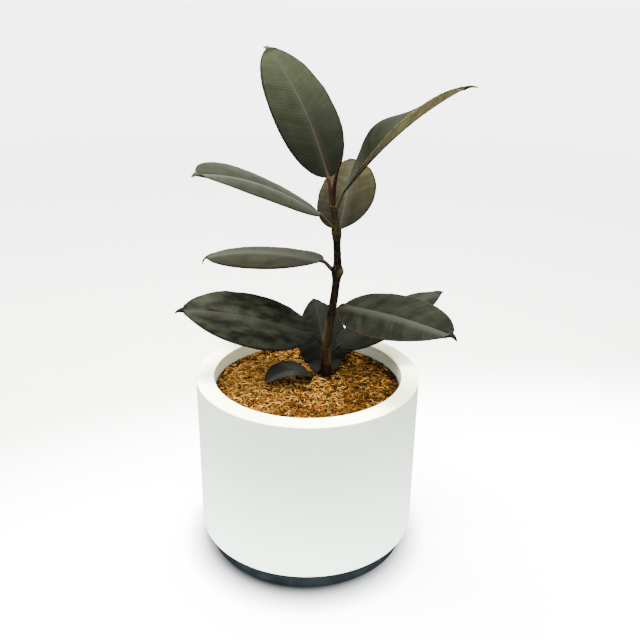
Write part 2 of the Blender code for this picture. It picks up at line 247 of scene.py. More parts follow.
@dataclass
class Leaf:
    """A leaf's size, how it is carried and its age.

    Heading is seen from above, 0 towards +X and 90 towards +Y. Angles are in degrees and
    the two halves of the blade are named as seen from above with the tip ahead.
    """

    name: str
    node: float         # height of its joint above the mulch
    reach: float        # from the stem's axis to the start of the blade
    climb: float        # slope of that line
    heading: float      # direction of the blade where it starts
    rise: float         # slope of the blade where it starts
    arch: float         # slope that it loses towards the tip
    sweep: float        # heading that it gains towards the tip
    roll: float         # turn about its own rib where it starts
    twist: float        # turn that it gains towards the tip
    fold: float         # how far both halves are raised along the rib
    unfold: float       # fold that is lost towards the tip
    curl: float         # bend of each half between rib and margin
    length: float
    width: float
    broad: float        # under 1 puts the widest place nearer the stem
    tail: float         # length of the narrow drip tip
    tail_fall: float    # slope that the drip tip loses
    age: float          # 0 the newest leaf, 1 the oldest
    stalk: float = 0.0022       # radius of the stalk
    lift: float = 0.0           # extra fold of the left half about lift_at
    lift_at: float = 0.5
    lobe_left: float = 0.0      # how far the left half reaches back beside the stalk
    lobe_right: float = 0.0
    point: float = 0.0          # how much narrower the blade is at its tip
    green_stalk: float = 0.0    # 1 where the stalk stays green
    # The tan face is partly the leaf's colour and partly painted sheen
    tan: float = 0.0            # 1 where the upper face is tan
    gloss: float = 1.0          # share of the usual shine
    # Each leaf's lightness is set to its tone in the light, so it is partly painted light and shade
    bright: float = 1.0         # how much lighter than usual its upper face is
    # The tip is painted lighter, as sheen
    tip_sheen: float = 1.0          # how much lighter the blade is at its tip than where it starts
    # The uneven tone is partly random and partly painted sheen in patches
    mottle: float = 0.3         # how uneven its tone is
    # The band along the rib is painted sheen, and lit_side gives the half that it lies on
    rib_sheen: float = 0.4          # how light the band along the rib is
    lit_side: float = 0.0       # -1 where only the left half has that band, 1 where only the right has
    pale_edge: float = 0.0      # 1 where the upper face has a pale edge
    banding: float = 0.2        # how strong the light and dark bands between its veins are


LEAVES = (
    Leaf("crown_leaf", node=0.256, reach=0.0390, climb=72, heading=128, rise=63, arch=24, sweep=10,
         roll=23, twist=-7, fold=3, unfold=2, curl=-12, length=0.204, width=0.0945, broad=0.97,
         tail=0.010, tail_fall=55, age=0.1, stalk=0.0024, gloss=0.42, bright=0.90, tip_sheen=3.3,
         mottle=0.1, rib_sheen=0.10, banding=0.1),
    Leaf("upper_right_leaf", node=0.2585, reach=0.0252, climb=52.5, heading=-6, rise=52.6, arch=23, sweep=-9,
         roll=-3, twist=11, fold=11, unfold=-4, curl=0, length=0.205, width=0.0905, broad=1.0,
         tail=0.017, tail_fall=45, age=0.3, stalk=0.0024, lift=29, lift_at=0.38, green_stalk=0.8,
         gloss=0.65, bright=0.8, mottle=0.2, rib_sheen=0.2),
    Leaf("upper_left_leaf", node=0.230, reach=0.0335, climb=34, heading=210, rise=34, arch=27.5, sweep=12,
         roll=15, twist=5, fold=9, unfold=-4, curl=-28, length=0.199, width=0.090, broad=0.95,
         tail=0.009, tail_fall=42, age=0.3, green_stalk=0.6, gloss=0.85, bright=0.80,
         rib_sheen=1.0, lit_side=-1.0),
    Leaf("upper_back_leaf", node=0.207, reach=0.0270, climb=19, heading=80, rise=20, arch=2, sweep=6,
         roll=11, twist=-2, fold=4, unfold=1, curl=-6, length=0.196, width=0.0895, broad=0.95,
         tail=0.010, tail_fall=30, age=0.4, tan=0.55, gloss=0.25, bright=0.33,
         tip_sheen=4.0, mottle=0.25, rib_sheen=0.2, banding=0.3),
    Leaf("middle_left_leaf", node=0.167, reach=0.0248, climb=13.5, heading=152, rise=3, arch=20, sweep=10,
         roll=3, twist=4, fold=6, unfold=0, curl=-34, length=0.190, width=0.090, broad=0.95,
         tail=0.017, tail_fall=66, age=0.5, stalk=0.0030, tan=0.15, gloss=0.55, bright=0.62,
         mottle=0.3, rib_sheen=0.6),
    Leaf("lower_right_leaf", node=0.104, reach=0.0290, climb=28, heading=-52, rise=11, arch=12, sweep=4,
         roll=-30, twist=14, fold=1, unfold=-6, curl=-15, length=0.197, width=0.091, broad=0.94,
         tail=0.011, tail_fall=50, age=0.7, stalk=0.0027, lobe_right=1.2, gloss=0.5, bright=0.75,
         mottle=0.4, rib_sheen=0.85, lit_side=1.0, pale_edge=0.25, banding=0.6),
    Leaf("lower_left_leaf", node=0.053, reach=0.0260, climb=26, heading=188, rise=23, arch=16.5, sweep=8,
         roll=39, twist=-9, fold=-2, unfold=-2, curl=-13, length=0.192, width=0.096, broad=0.97,
         tail=0.012, tail_fall=48, age=0.9, point=0.25, gloss=0.55, bright=1.9,
         mottle=1.15, rib_sheen=0.65, lit_side=-1.0),
    Leaf("lower_back_right_leaf", node=0.035, reach=0.0205, climb=15, heading=22, rise=29, arch=17, sweep=-3,
         roll=-6, twist=6, fold=-1, unfold=-1, curl=-12, length=0.180, width=0.088, broad=0.90,
         tail=0.006, tail_fall=20, age=0.9, point=0.25, gloss=0.45, bright=1.2,
         mottle=0.6),
    Leaf("foot_back_leaf", node=0.003, reach=0.0152, climb=9, heading=93, rise=29, arch=19, sweep=8,
         roll=9, twist=4, fold=-7, unfold=4, curl=-21, length=0.150, width=0.082, broad=0.79,
         tail=0.007, tail_fall=20, age=1.0, stalk=0.0018, lobe_left=2.0, lobe_right=2.0,
         gloss=0.4, bright=0.8, rib_sheen=0.15),
    Leaf("foot_small_leaf", node=0.010, reach=0.0260, climb=-18, heading=212, rise=39, arch=80, sweep=-10,
         roll=11, twist=-12, fold=4, unfold=-4, curl=9, length=0.081, width=0.047, broad=0.96,
         tail=0.0, tail_fall=0, age=1.0, stalk=0.0014, gloss=0.7, mottle=0.6),
)

# Camera: where the planter is seen from, and its three angles in degrees
CAMERA_PLACE = (0.0, -0.9978, RIM + 0.4923)
CAMERA_PITCH = 22.41
CAMERA_YAW = 0.94
CAMERA_ROLL = 0.88
SENSOR_WIDTH = 36.0

# Floor: its painted glow in front of the planter, its shares of brightness farther off where it is painted
# darker, and the soft shadow painted round the foot.
# CAST is the light that it throws back on the planter
FLOOR_RADIUS = 300.0
FLOOR_SIDES = 96
FLOOR_ROUGHNESS = 0.8
GLOW_TINT = (1.0, 1.0, 0.985, 1.0)
GLOW_CENTRE = (0.43, -1.1, 0.0)
GLOW_EDGES = (1.27, 1.75)
FAR_EDGES = (0.8, 5.5)
FAR_SHARES = (0.52, 0.72)
CAST_EDGES = (0.20, 0.55)
CAST_ON_GLOSS = (0.02, 0.02, 0.02)
SHADOW_CENTRE = (-0.004, -0.017, 0.0)
SHADOW_RADIUS = 0.129
SHADOW_WIDTH = 0.060
SHADOW_POWER = 1.6
SHADOW_TONE = (0.003, 0.006, 0.012)

# Room: how high the ceiling's light starts, where the gleam lies, the tints, and the softbox
CEILING_EDGES = (0.30, 0.92)
GLEAM_EDGES = (-0.20, 0.50)
GLEAM_IN_FRONT = 0.04
GLEAM_SIDE = (0.42, 0.91)
GLEAM_RISE = 2.0
GLEAM_RISE_POWER = 4.0
LIGHT_TINT = (0.95, 1.0, 0.965)
GLEAM_TINT = (1.0, 1.0, 0.84)
BACKDROP_TINT = (1.0, 1.0, 0.97)
SOFTBOX_PLACE = (-0.14, 0.25, 2.05)
SOFTBOX_AIM = (0.0, 0.0, 0.3)
SOFTBOX_SIZE = 0.9
SOFTBOX_TINT = (1.0, 0.965, 0.89)


@dataclass
class Surface:
    """How uneven, rough, shiny and deep a finish is."""

    patch: float = 0.0      # patches to a metre
    grain: float = 0.0      # grains to a metre
    roughness: float = 0.5
    shine: float = 0.1
    depth: float = 0.0      # height of its finest relief


BLACK_PLASTIC = Surface(30.0, 700.0, 0.65, 0.1, 0.0002)
SOIL = Surface(60.0, 600.0, 0.9, 0.1, 0.001)
BED = Surface(120.0, 700.0, 0.9, 0.1, 0.0008)
SHREDS = Surface(110.0, 900.0, 0.85, 0.03, 0.0004)
BARK = Surface(330.0, 1500.0, 0.5, 0.14, 0.00025)
SHEATH = Surface(500.0, 1800.0, 0.42, 0.2, 0.0001)
BARK_STRETCH = 0.09
SHEATH_STRETCH = 0.08

# White plastic: where painted shade darkens it towards the rim, its dull patches, its flat top painted
# lighter and creamy, and how the warm bounce light painted inside the mouth fades
PAINTED_SHADE_FROM = 0.02
PAINTED_SHADE_AT_RIM = 0.85
DULLED_PATCHES = 0.15
ROUGHNESS_SPREAD = (-0.05, 0.07)
LIT_CREAM_BELOW_RIM = (0.0016, 0.0004)
BOUNCE_BELOW_RIM = (0.0040, 0.0010)
BOUNCE_BEHIND_MOUTH = (0.0005, 0.0020)
BOUNCE_FADE = (-0.09, 0.10)
BOUNCE_ON_RIGHT = 0.25

# Bark, by height above the mulch: where each tone takes over from the one below it
BARK_CHANGES = (
    (0.014, 0.024, "tan_bark"),
    (0.040, 0.052, "old_bark"),
    (0.080, 0.096, "dark_bark"),
    (0.200, 0.214, "young_bark"),
)
BARK_CREVICE = (0.0012, 0.0007, 0.0005)

# Stretches of bark in a tone of their own: from, to, softness, side, share and tone. Those on one side only
# are partly bark colour and partly painted highlight
BARK_STRETCHES = (
    (0.016, 0.045, 0.005, "right", 0.75, "pale_bark_and_highlight"),
    (0.048, 0.088, 0.006, "left", 0.60, "pale_bark_and_highlight"),
    (0.154, 0.167, 0.003, "front right", 0.65, "pale_bark_and_highlight"),
    (0.206, 0.222, 0.004, "right", 0.60, "young_bark"),
    (0.217, 0.2205, 0.001, "all round", 0.70, "scar"),
    (0.2535, 0.260, 0.001, "all round", 0.60, "scar"),
)
PALE_LINES = (0.09, 0.21, 0.01)

# Unevenness of the leaves: patches to a metre along and across, and detail
SWAY_NOISE = (70.0, 40.0, 1.0)
STREAK_NOISE = (420.0, 26.0, 2.5)
BAND_NOISE = (60.0, 16.0, 2.0)
PATCH_NOISE = (30.0, 85.0, 2.5, 0.5, 0.3)
VEIN_SWAY = 0.0050
VEIN_LINE_EDGES = (0.02, 0.13)
FINE_VEIN_SPACING = 0.0013
VEIN_GROOVE = 0.25
FINE_VEIN_RELIEF = 0.15
STREAK_RELIEF = 1.1

# Finish of the leaves. A pair is where the blade starts, and at its tip
GROWN_AGE = 0.5
PALE_UNTIL_AGE = 0.6
VEIN_SHARES = (0.50, 0.15)
RIB_WIDTHS = (0.0016, 0.0006)
KEEL_WIDTHS = (0.0042, 0.0014)
# The undersides' light colours and their lightening towards the tip are partly leaf colour and partly painted
# light
UNDERSIDE_SHARES = (0.60, 1.75)
# Where the band of painted sheen beside the rib starts, its width on a new leaf, and its growth with age
RIB_SHEEN_FROM = 0.0015
RIB_SHEEN_YOUNG = 0.0105
RIB_SHEEN_GROWTH = 0.0080
# Widths of the dark margin, which is partly painted shade of the edge's thickness
LOWER_MARGIN = 0.0040
LOWER_MARGIN_LOSS = 0.0018
UPPER_MARGIN = 0.0044
STALK_ENDS = (-0.0015, 0.004)
LEAF_ROUGHNESS = (0.30, 0.40)
UNDERSIDE_DULLER = 0.18
STALK_ROUGHNESS = 0.62
LEAF_SHINE = 0.25
LEAF_RELIEF = 0.00028

# Marks on the leaves: how strong each one is, and the places or widths between which it fades
STREAK_SHARE = 0.45
STREAK_DARKNESS = 0.55
VEIN_FADE = (0.55, 0.95)
VEIN_IN_DARK_BAND = 0.25
VEIN_LOSS_WITH_AGE = 0.6
VEIN_LIGHTNESS = 1.9
PATCH_DARKNESS = 0.65
PATCH_LIGHTNESS = 0.9
HALVES_MEET = 0.0006
RIB_EDGES = (0.55, 1.25)
RIB_FADE = (0.78, 0.98)
RIB_TONE_CHANGE = (0.36, 0.62)
RIB_SHARE = 0.85
RIB_LOSS_WITH_AGE = 0.65
UNDER_BANDS = (0.80, 1.20)
UNDER_VEIN_SHARE = 0.20
UNDER_VEIN_DARKNESS = 0.6
UNDER_FADE = (0.15, 0.70)
KEEL_EDGES = (0.7, 1.3)
MARGIN_EDGES = (0.25, 1.0)
MARGIN_SHARE = 0.8
TURNED_EDGE = (0.55, 0.9)
TIP_MARGIN = (0.80, 0.93)
TAIL_PLACE = (0.9, 0.95)
TAIL_HALF_WIDTHS = (0.0034, 0.0060)
STALK_HALF_WIDTHS = (0.0022, 0.0040)
CLEAR_OF_RIB = (0.0006, 0.0035)


def colour_property(name, description, default):
    """A colour that can be changed in the sidebar."""
    return FloatVectorProperty(name=name, description=description, default=default, size=3,
                               min=0.0, max=1.0, subtype="COLOR")


def length_property(name, description, default):
    """A length in metres that can be changed in the sidebar."""
    return FloatProperty(name=name, description=description, default=default, min=0.0,
                         precision=5, subtype="DISTANCE", unit="LENGTH")


def share_property(name, description, default):
    """A number from 0 to 1 that can be changed in the sidebar."""
    return FloatProperty(name=name, description=description, default=default, min=0.0, max=1.0,
                         subtype="FACTOR")


def brightness_property(name, description, default):
    """A brightness that can be changed in the sidebar."""
    return FloatProperty(name=name, description=description, default=default, min=0.0)


def count_property(name, description, default, least=0):
    """A whole number that can be changed in the sidebar."""
    return IntProperty(name=name, description=description, default=default, min=least)


class PlanterSettings(bpy.types.PropertyGroup):
    """Finish of the white drum, its foot and the black liner."""

    rim_rounding: length_property("Rim rounding", "Radius of the rim's two edges", 0.0016)
    heel_rounding: length_property("Heel rounding", "Radius of the drum's lower edge", 0.0030)
    ripple_depth: length_property("Ripple depth", "Depth of the moulded wall's faint ripple", 0.00005)
    white: colour_property("White", "Moulded white plastic", (0.87, 0.93, 0.86))
    # Painted shade: the drum's white darkens towards the rim, and it is also dull in patches
    white_dull_and_shaded: colour_property("Dull and shaded white", "The same plastic where it is dulled", (0.62, 0.68, 0.61))
    # Painted light: the rim's flat top is lighter, as lit from above, and creamy
    lit_cream: colour_property("Cream", "The rim's flat top", (0.96, 0.93, 0.66))
    # Painted light: warm light that the mulch throws on the inside of the mouth, stronger at the left
    mulch_bounce: colour_property("Mulch bounce", "White plastic that the mulch has stained", (0.88, 0.79, 0.54))
    # Black plastic of the foot, partly painted shade: its darkness and blue tint are those of the shade under
    # the drum
    foot_black: colour_property("Foot black", "Black plastic of the foot", (0.0060, 0.0080, 0.0110))
    liner_black: colour_property("Liner black", "The liner's black, brown with dust", (0.014, 0.010, 0.007))
    roughness: share_property("Roughness", "Roughness of the white plastic", 0.42)


class MulchSettings(bpy.types.PropertyGroup):
    """The shredded mulch and the soil below it."""

    strand_count: count_property("Strands", "Number of shreds on the bed", 8400, 100)
    strand_length: length_property("Strand length", "Usual length of a shred", 0.0155)
    strand_width: length_property("Strand width", "Usual width of a shred", 0.0017)
    strand_thickness: length_property("Strand thickness", "Usual thickness of a shred", 0.0014)
    bed_bumps: length_property("Bed bumps", "Height of the bumps of the bed below the shreds", 0.0040)
    seed: count_property("Seed", "Start of the random lay of the shreds", 7)
    soil: colour_property("Soil", "Moist potting soil", (0.020, 0.012, 0.008))
    bed: colour_property("Bed", "Shaded mulch between the shreds", (0.007, 0.0030, 0.0010))


class StemSettings(bpy.types.PropertyGroup):
    """Relief and colours of the stem and the bud."""

    ridge_depth: length_property("Ridge depth", "Depth of the bark's lengthwise ridges at the foot", 0.00035)
    scar_height: length_property("Scar height", "Height of the rings that leaves left", 0.00040)
    pore_height: length_property("Pore height", "Height of the corky pores of the bark", 0.00022)
    foot_bark: colour_property("Foot bark", "Maroon bark at the foot", (0.0090, 0.0032, 0.0018))
    tan_bark: colour_property("Tan bark", "Brown bark above the foot", (0.0200, 0.0100, 0.0032))
    old_bark: colour_property("Old bark", "Olive bark of the lower stem", (0.0150, 0.0100, 0.0028))
    dark_bark: colour_property("Dark bark", "Maroon-black bark of the upper stem", (0.0036, 0.0018, 0.0011))
    young_bark: colour_property("Young bark", "Green of the youngest stretch", (0.0160, 0.0135, 0.0030))
    # Pale bark, partly painted highlight on one side of the stem
    pale_bark_and_highlight: colour_property("Pale bark", "Pale stripes of the bark", (0.0500, 0.0360, 0.0120))
    scar: colour_property("Scar", "Corky rings and pores", (0.0300, 0.0170, 0.0095))
    sheath: colour_property("Sheath", "Maroon sheath of the bud", (0.0135, 0.0036, 0.0020))


class LeafSettings(bpy.types.PropertyGroup):
    """Relief and colours of the leaves."""

    thickness: length_property("Thickness", "Thickness of a blade beside its rib", 0.0011)
    margin_thickness: length_property("Margin thickness", "Thickness of a blade at its margin", 0.0006)
    keel_depth: length_property("Keel depth", "Depth of the rib below the blade where it starts", 0.0020)
    groove_depth: length_property("Groove depth", "Depth of the groove above the rib", 0.00035)
    vein_spacing: length_property("Vein spacing", "Distance between the main side veins", 0.0048)
    quilt_depth: length_property("Quilt depth", "Height of the blade between two side veins", 0.00005)
    wave_height: length_property("Wave height", "Height of the margin's slow waves", 0.0010)
    bump_height: length_property("Bump height", "Height of the low bumps of the oldest blades", 0.0008)
    margin_turn: FloatProperty(name="Margin turn", description="How far the margin turns down",
                               default=radians(40), min=0.0, max=radians(90), subtype="ANGLE")
    young: colour_property("Young", "Upper face of the newest leaf", (0.0062, 0.0076, 0.0036))
    grown: colour_property("Grown", "Upper face of a grown leaf", (0.0046, 0.0052, 0.0029))
    old: colour_property("Old", "Upper face of the oldest leaves", (0.0016, 0.0018, 0.0010))
    # The tan colour is partly painted sheen
    tan: colour_property("Tan", "Upper face of the leaves that turn tan", (0.0190, 0.0158, 0.0055))
    # Painted sheen along the rib
    young_rib_sheen: colour_property("Young rib sheen", "Light band by a new leaf's rib", (0.0210, 0.0215, 0.0165))
    old_rib_sheen: colour_property("Old rib sheen", "Light band by an old leaf's rib", (0.0095, 0.0090, 0.0072))
    vein: colour_property("Vein", "The rib towards its tip", (0.016, 0.020, 0.012))
    rib: colour_property("Rib", "Upper face of the rib where it starts", (0.020, 0.0092, 0.0056))
    # The undersides' colours are partly painted light
    underside: colour_property("Underside", "Lower face of the newest blades", (0.128, 0.102, 0.043))
    old_underside: colour_property("Old underside", "Lower face of the oldest blades", (0.030, 0.026, 0.012))
    keel: colour_property("Keel", "Rib below the blade", (0.024, 0.0055, 0.0030))
    # The dark margin is partly painted shade of the edge's thickness
    margin: colour_property("Margin", "Thin margin of the blades", (0.0016, 0.0010, 0.0009))
    edge: colour_property("Pale edge", "Pale pink edge of some grown leaves", (0.024, 0.016, 0.013))
    pale_margin: colour_property("Young margin", "Lower margin of the newest leaves", (0.250, 0.270, 0.090))
    stalk_young: colour_property("Young stalk", "Stalks at the top", (0.030, 0.0110, 0.0068))
    stalk_old: colour_property("Old stalk", "Stalks lower down", (0.0085, 0.0040, 0.0024))
    stalk_green: colour_property("Green stalk", "Stalks that stay green", (0.026, 0.0240, 0.0070))


class StudioSettings(bpy.types.PropertyGroup):
    """Camera, lights and floor."""

    lens: FloatProperty(name="Lens", description="Focal length", default=43.05, min=1.0,
                        subtype="DISTANCE_CAMERA", unit="CAMERA")
    key_power: FloatProperty(name="Key power", description="Power of the overhead softbox", default=340.0,
                             min=0.0, subtype="POWER", unit="POWER")
    backdrop: brightness_property("Backdrop", "Brightness of the backdrop", 5.6)
    ceiling: brightness_property("Ceiling", "Brightness of the room's ceiling", 13.0)
    wall: brightness_property("Walls", "Brightness of the room's walls", 0.3)
    gleam: brightness_property("Gleam", "Light of the backdrop seen in glossy surfaces", 0.85)
    floor: colour_property("Floor", "Pale studio floor", (0.90, 0.90, 0.885))
    # Painted glow of the floor by the planter, seen only by the camera
    floor_glow: brightness_property("Floor glow", "Extra brightness of the floor by the planter", 4.5)
    cast_near: colour_property("Near cast", "Light that the floor close by casts back", (0.93, 1.00, 0.95))
    cast_far: colour_property("Far cast", "Light that the floor farther off casts back", (0.06, 0.066, 0.063))


def add_node(tree, kind, inputs=None, **settings):
    """Add a node whose inputs are values or sockets, given by socket name or number."""
    node = tree.nodes.new(kind)
    for name, value in settings.items():
        setattr(node, name, value)
    for name, value in (inputs or {}).items():
        if isinstance(value, bpy.types.NodeSocket):
            tree.links.new(value, node.inputs[name])
        else:
            node.inputs[name].default_value = value
    return node


def maths(tree, operation, *values):
    """The result of a Math node."""
    return add_node(tree, "ShaderNodeMath", dict(enumerate(values)), operation=operation).outputs[0]


def times(tree, first, second):
    """The product of two values."""
    return maths(tree, "MULTIPLY", first, second)


def opposite(tree, value):
    """1 where a value is 0, and 0 where it is 1."""
    return maths(tree, "SUBTRACT", 1.0, value)


def ramp(tree, value, low, high, to_low=0.0, to_high=1.0):
    """A value carried smoothly from one range to another, and held at its ends."""
    inputs = {"Value": value, "From Min": low, "From Max": high, "To Min": to_low, "To Max": to_high}
    return add_node(tree, "ShaderNodeMapRange", inputs, interpolation_type="SMOOTHSTEP").outputs["Result"]


def blend_colours(tree, share, first, second):
    """A colour between two, which are colours or sockets."""
    node = add_node(tree, "ShaderNodeMix", data_type="RGBA", clamp_factor=True)
    for socket, value in ((0, share), (6, first), (7, second)):
        if isinstance(value, bpy.types.NodeSocket):
            tree.links.new(value, node.inputs[socket])
        elif socket:
            node.inputs[socket].default_value = (*value[:3], 1.0)
        else:
            node.inputs[socket].default_value = value
    return node.outputs[2]


def scaled(tree, colour, share):
    """A colour made lighter or darker by a value."""
    return add_node(tree, "ShaderNodeVectorMath", {0: colour, "Scale": share}, operation="SCALE").outputs[0]


def toned(colour, share):
    """A plain colour made lighter or darker."""
    return [min(value * share, 1.0) for value in colour]


def mix_values(first, second, share):
    """A plain colour between two."""
    return [a + (b - a) * share for a, b in zip(first, second)]


def apart(tree, vector):
    """The three parts of a vector."""
    return add_node(tree, "ShaderNodeSeparateXYZ", {0: vector}).outputs


def far_from(tree, place, centre):
    """How far each place is from a centre."""
    ends = {0: place, 1: centre}
    return add_node(tree, "ShaderNodeVectorMath", ends, operation="DISTANCE").outputs["Value"]


def stored_number(tree, name):
    """A number that is stored at each point of a piece."""
    return add_node(tree, "ShaderNodeAttribute", attribute_name=name).outputs["Fac"]


def stored_numbers(tree, name):
    """Three numbers that are stored at each point of a piece."""
    vector = add_node(tree, "ShaderNodeAttribute", attribute_name=name).outputs["Vector"]
    parts = apart(tree, vector)
    return parts["X"], parts["Y"], parts["Z"]


def between(tree, value, low, high, soft):
    """1 where a value lies between two others, with soft ends."""
    start = ramp(tree, value, low - soft, low + soft)
    return maths(tree, "SUBTRACT", start, ramp(tree, value, high - soft, high + soft))


def new_group(name, inputs, outputs):
    """An empty shader group with its input and output nodes. An input without a value is a vector."""
    tree = bpy.data.node_groups.new(name, "ShaderNodeTree")
    for socket, value in inputs.items():
        kind = "NodeSocketVector" if value is None else "NodeSocketFloat"
        made = tree.interface.new_socket(socket, in_out="INPUT", socket_type=kind)
        if value is not None:
            made.default_value = value
    for socket in outputs:
        tree.interface.new_socket(socket, in_out="OUTPUT", socket_type="NodeSocketFloat")
    return tree, tree.nodes.new("NodeGroupInput"), tree.nodes.new("NodeGroupOutput")


def put_out(tree, result, values):
    """Join values to the sockets of a group's output node."""
    for name, value in values.items():
        tree.links.new(value, result.inputs[name])


def make_mottle_group():
    """Uneven tone at two sizes and a fine height, for plastic, soil, mulch, bark and sheath."""
    inputs = {"Vector": None, "Patch": 20.0, "Grain": 300.0}
    tree, source, result = new_group("surface_mottle", inputs, ("Patches", "Grains", "Height"))
    patches, grains = (
        add_node(tree, "ShaderNodeTexNoise", {
            "Vector": source.outputs["Vector"], "Scale": source.outputs[size], "Detail": detail,
            "Roughness": roughness}).outputs["Fac"]
        for size, detail, roughness in (("Patch", 3.0, 0.55), ("Grain", 2.0, 0.6)))
    put_out(tree, result, {
        "Patches": ramp(tree, patches, 0.3, 0.7),
        "Grains": ramp(tree, grains, 0.3, 0.7),
        "Height": maths(tree, "MULTIPLY_ADD", patches, 0.4, grains),
    })
    return tree


def make_vein_group():
    """Side veins that lean towards the tip, and the streaks that run along them."""
    inputs = {"Run": 0.0, "Across": 0.0, "Spacing": 0.006, "Seed": 0.0}
    outputs = ("Line", "Streak", "Band", "Mottle", "Height")
    tree, source, result = new_group("side_veins", inputs, outputs)
    run, across, seed = (source.outputs[name] for name in ("Run", "Across", "Seed"))
    out = maths(tree, "ABSOLUTE", across)
    lean = times(tree, out, maths(tree, "MULTIPLY_ADD", out, VEIN_BEND, VEIN_LEAN))
    start = maths(tree, "SUBTRACT", run, lean)

    def drawn_out(length, along, sideways, detail, roughness=0.55, distortion=0.0):
        """Noise with its own number of patches to a metre, along and across."""
        place = add_node(tree, "ShaderNodeCombineXYZ", {
            "X": times(tree, length, along), "Y": times(tree, across, sideways), "Z": seed})
        return add_node(tree, "ShaderNodeTexNoise", {
            "Vector": place.outputs[0], "Scale": 1.0, "Detail": detail, "Roughness": roughness,
            "Distortion": distortion}).outputs["Fac"]

    sway = maths(tree, "SUBTRACT", drawn_out(start, *SWAY_NOISE), 0.5)
    swayed = maths(tree, "MULTIPLY_ADD", sway, VEIN_SWAY, start)
    phase = maths(tree, "PINGPONG", maths(tree, "DIVIDE", swayed, source.outputs["Spacing"]), 0.5)
    line = opposite(tree, ramp(tree, phase, *VEIN_LINE_EDGES))
    fine = maths(tree, "PINGPONG", maths(tree, "DIVIDE", swayed, FINE_VEIN_SPACING), 0.5)
    streak = drawn_out(start, *STREAK_NOISE)
    relief = maths(tree, "ADD", times(tree, line, -VEIN_GROOVE), times(tree, fine, FINE_VEIN_RELIEF))
    put_out(tree, result, {
        "Line": line,
        "Streak": ramp(tree, streak, 0.32, 0.68),
        "Band": ramp(tree, drawn_out(start, *BAND_NOISE), 0.34, 0.66),
        "Mottle": ramp(tree, drawn_out(run, *PATCH_NOISE), 0.26, 0.74),
        "Height": maths(tree, "MULTIPLY_ADD", streak, STREAK_RELIEF, relief),
    })
    return tree


def shared_group(maker, name):
    """The node group of that name, made the first time that it is asked for."""
    return bpy.data.node_groups.get(name) or maker()


def new_material(name):
    """A material, its tree and its shader."""
    material = bpy.data.materials.new(name)
    material.use_nodes = True
    tree = material.node_tree
    return material, tree, tree.nodes["Principled BSDF"]


def place_on_object(tree):
    """The object's own coordinates."""
    return tree.nodes.new("ShaderNodeTexCoord").outputs["Object"]


def mottle(tree, vector, surface):
    """The shared mottle group, set to a surface's patches and grains."""
    inputs = {"Vector": vector, "Patch": surface.patch, "Grain": surface.grain}
    group = shared_group(make_mottle_group, "surface_mottle")
    return add_node(tree, "ShaderNodeGroup", inputs, node_tree=group).outputs


def coat(tree, shader, colour, surface, relief, roughness=None):
    """Give a shader its colour, shine and roughness, and the relief that is too fine for the mesh."""
    tree.links.new(colour, shader.inputs["Base Color"])
    shader.inputs["Specular IOR Level"].default_value = surface.shine
    if roughness is None:
        shader.inputs["Roughness"].default_value = surface.roughness
    else:
        tree.links.new(roughness, shader.inputs["Roughness"])
    inputs = {"Height": relief, "Distance": surface.depth, "Strength": 1.0}
    bump = add_node(tree, "ShaderNodeBump", inputs)
    tree.links.new(bump.outputs["Normal"], shader.inputs["Normal"])


def white_plastic(planter):
    """Moulded white plastic, a little dull in patches, with painted shade darkening it towards the rim, its
    flat top painted lighter and creamy, warm bounce light from the mulch painted inside the mouth, and a
    faint ripple.
    """
    material, tree, shader = new_material("white_plastic")
    place = place_on_object(tree)
    surface = Surface(patch=9.0, grain=160.0, shine=0.35, depth=planter.ripple_depth)
    marks = mottle(tree, place, surface)
    axes = apart(tree, place)
    # Painted shade, darker towards the rim, with dull patches added
    darkened = ramp(tree, axes["Z"], PAINTED_SHADE_FROM, RIM, 0.0, PAINTED_SHADE_AT_RIM)
    darkened = maths(tree, "MULTIPLY_ADD", marks["Patches"], DULLED_PATCHES, darkened)
    colour = blend_colours(tree, darkened, planter.white, planter.white_dull_and_shaded)
    radius = maths(tree, "SQRT", maths(tree, "MULTIPLY_ADD", axes["X"], axes["X"],
                                       times(tree, axes["Y"], axes["Y"])))
    # Warm bounce light from the mulch, painted inside the mouth and fading to the right
    warmed = opposite(tree, ramp(tree, radius, *(MOUTH_RADIUS + way for way in BOUNCE_BEHIND_MOUTH)))
    below_rim = ramp(tree, axes["Z"], *(RIM - way for way in BOUNCE_BELOW_RIM), 1.0, 0.0)
    warmed = times(tree, warmed, below_rim)
    warmed = times(tree, warmed, ramp(tree, axes["X"], *BOUNCE_FADE, 1.0, BOUNCE_ON_RIGHT))
    # The rim's flat top, painted lighter and creamy
    lit_top = ramp(tree, axes["Z"], *(RIM - way for way in LIT_CREAM_BELOW_RIM))
    colour = blend_colours(tree, lit_top, colour, planter.lit_cream)
    colour = blend_colours(tree, warmed, colour, planter.mulch_bounce)
    roughness = (planter.roughness + more for more in ROUGHNESS_SPREAD)
    roughness = ramp(tree, marks["Patches"], 0.0, 1.0, *roughness)
    coat(tree, shader, colour, surface, marks["Height"], roughness)
    return material


def black_plastic(name, black):
    """Black moulded plastic with dust in its grain."""
    material, tree, shader = new_material(name)
    marks = mottle(tree, place_on_object(tree), BLACK_PLASTIC)
    colour = blend_colours(tree, times(tree, marks["Patches"], 0.5), black, toned(black, 3.0))
    coat(tree, shader, colour, BLACK_PLASTIC, marks["Height"])
    return material


def crumbly(name, colour, surface):
    """Soil or bark dust: rough, with darker and lighter crumbs."""
    material, tree, shader = new_material(name)
    marks = mottle(tree, place_on_object(tree), surface)
    tone = blend_colours(tree, marks["Patches"], toned(colour, 0.45), colour)
    tone = blend_colours(tree, times(tree, marks["Grains"], 0.5), tone, toned(colour, 1.9))
    coat(tree, shader, tone, surface, marks["Height"])
    return material


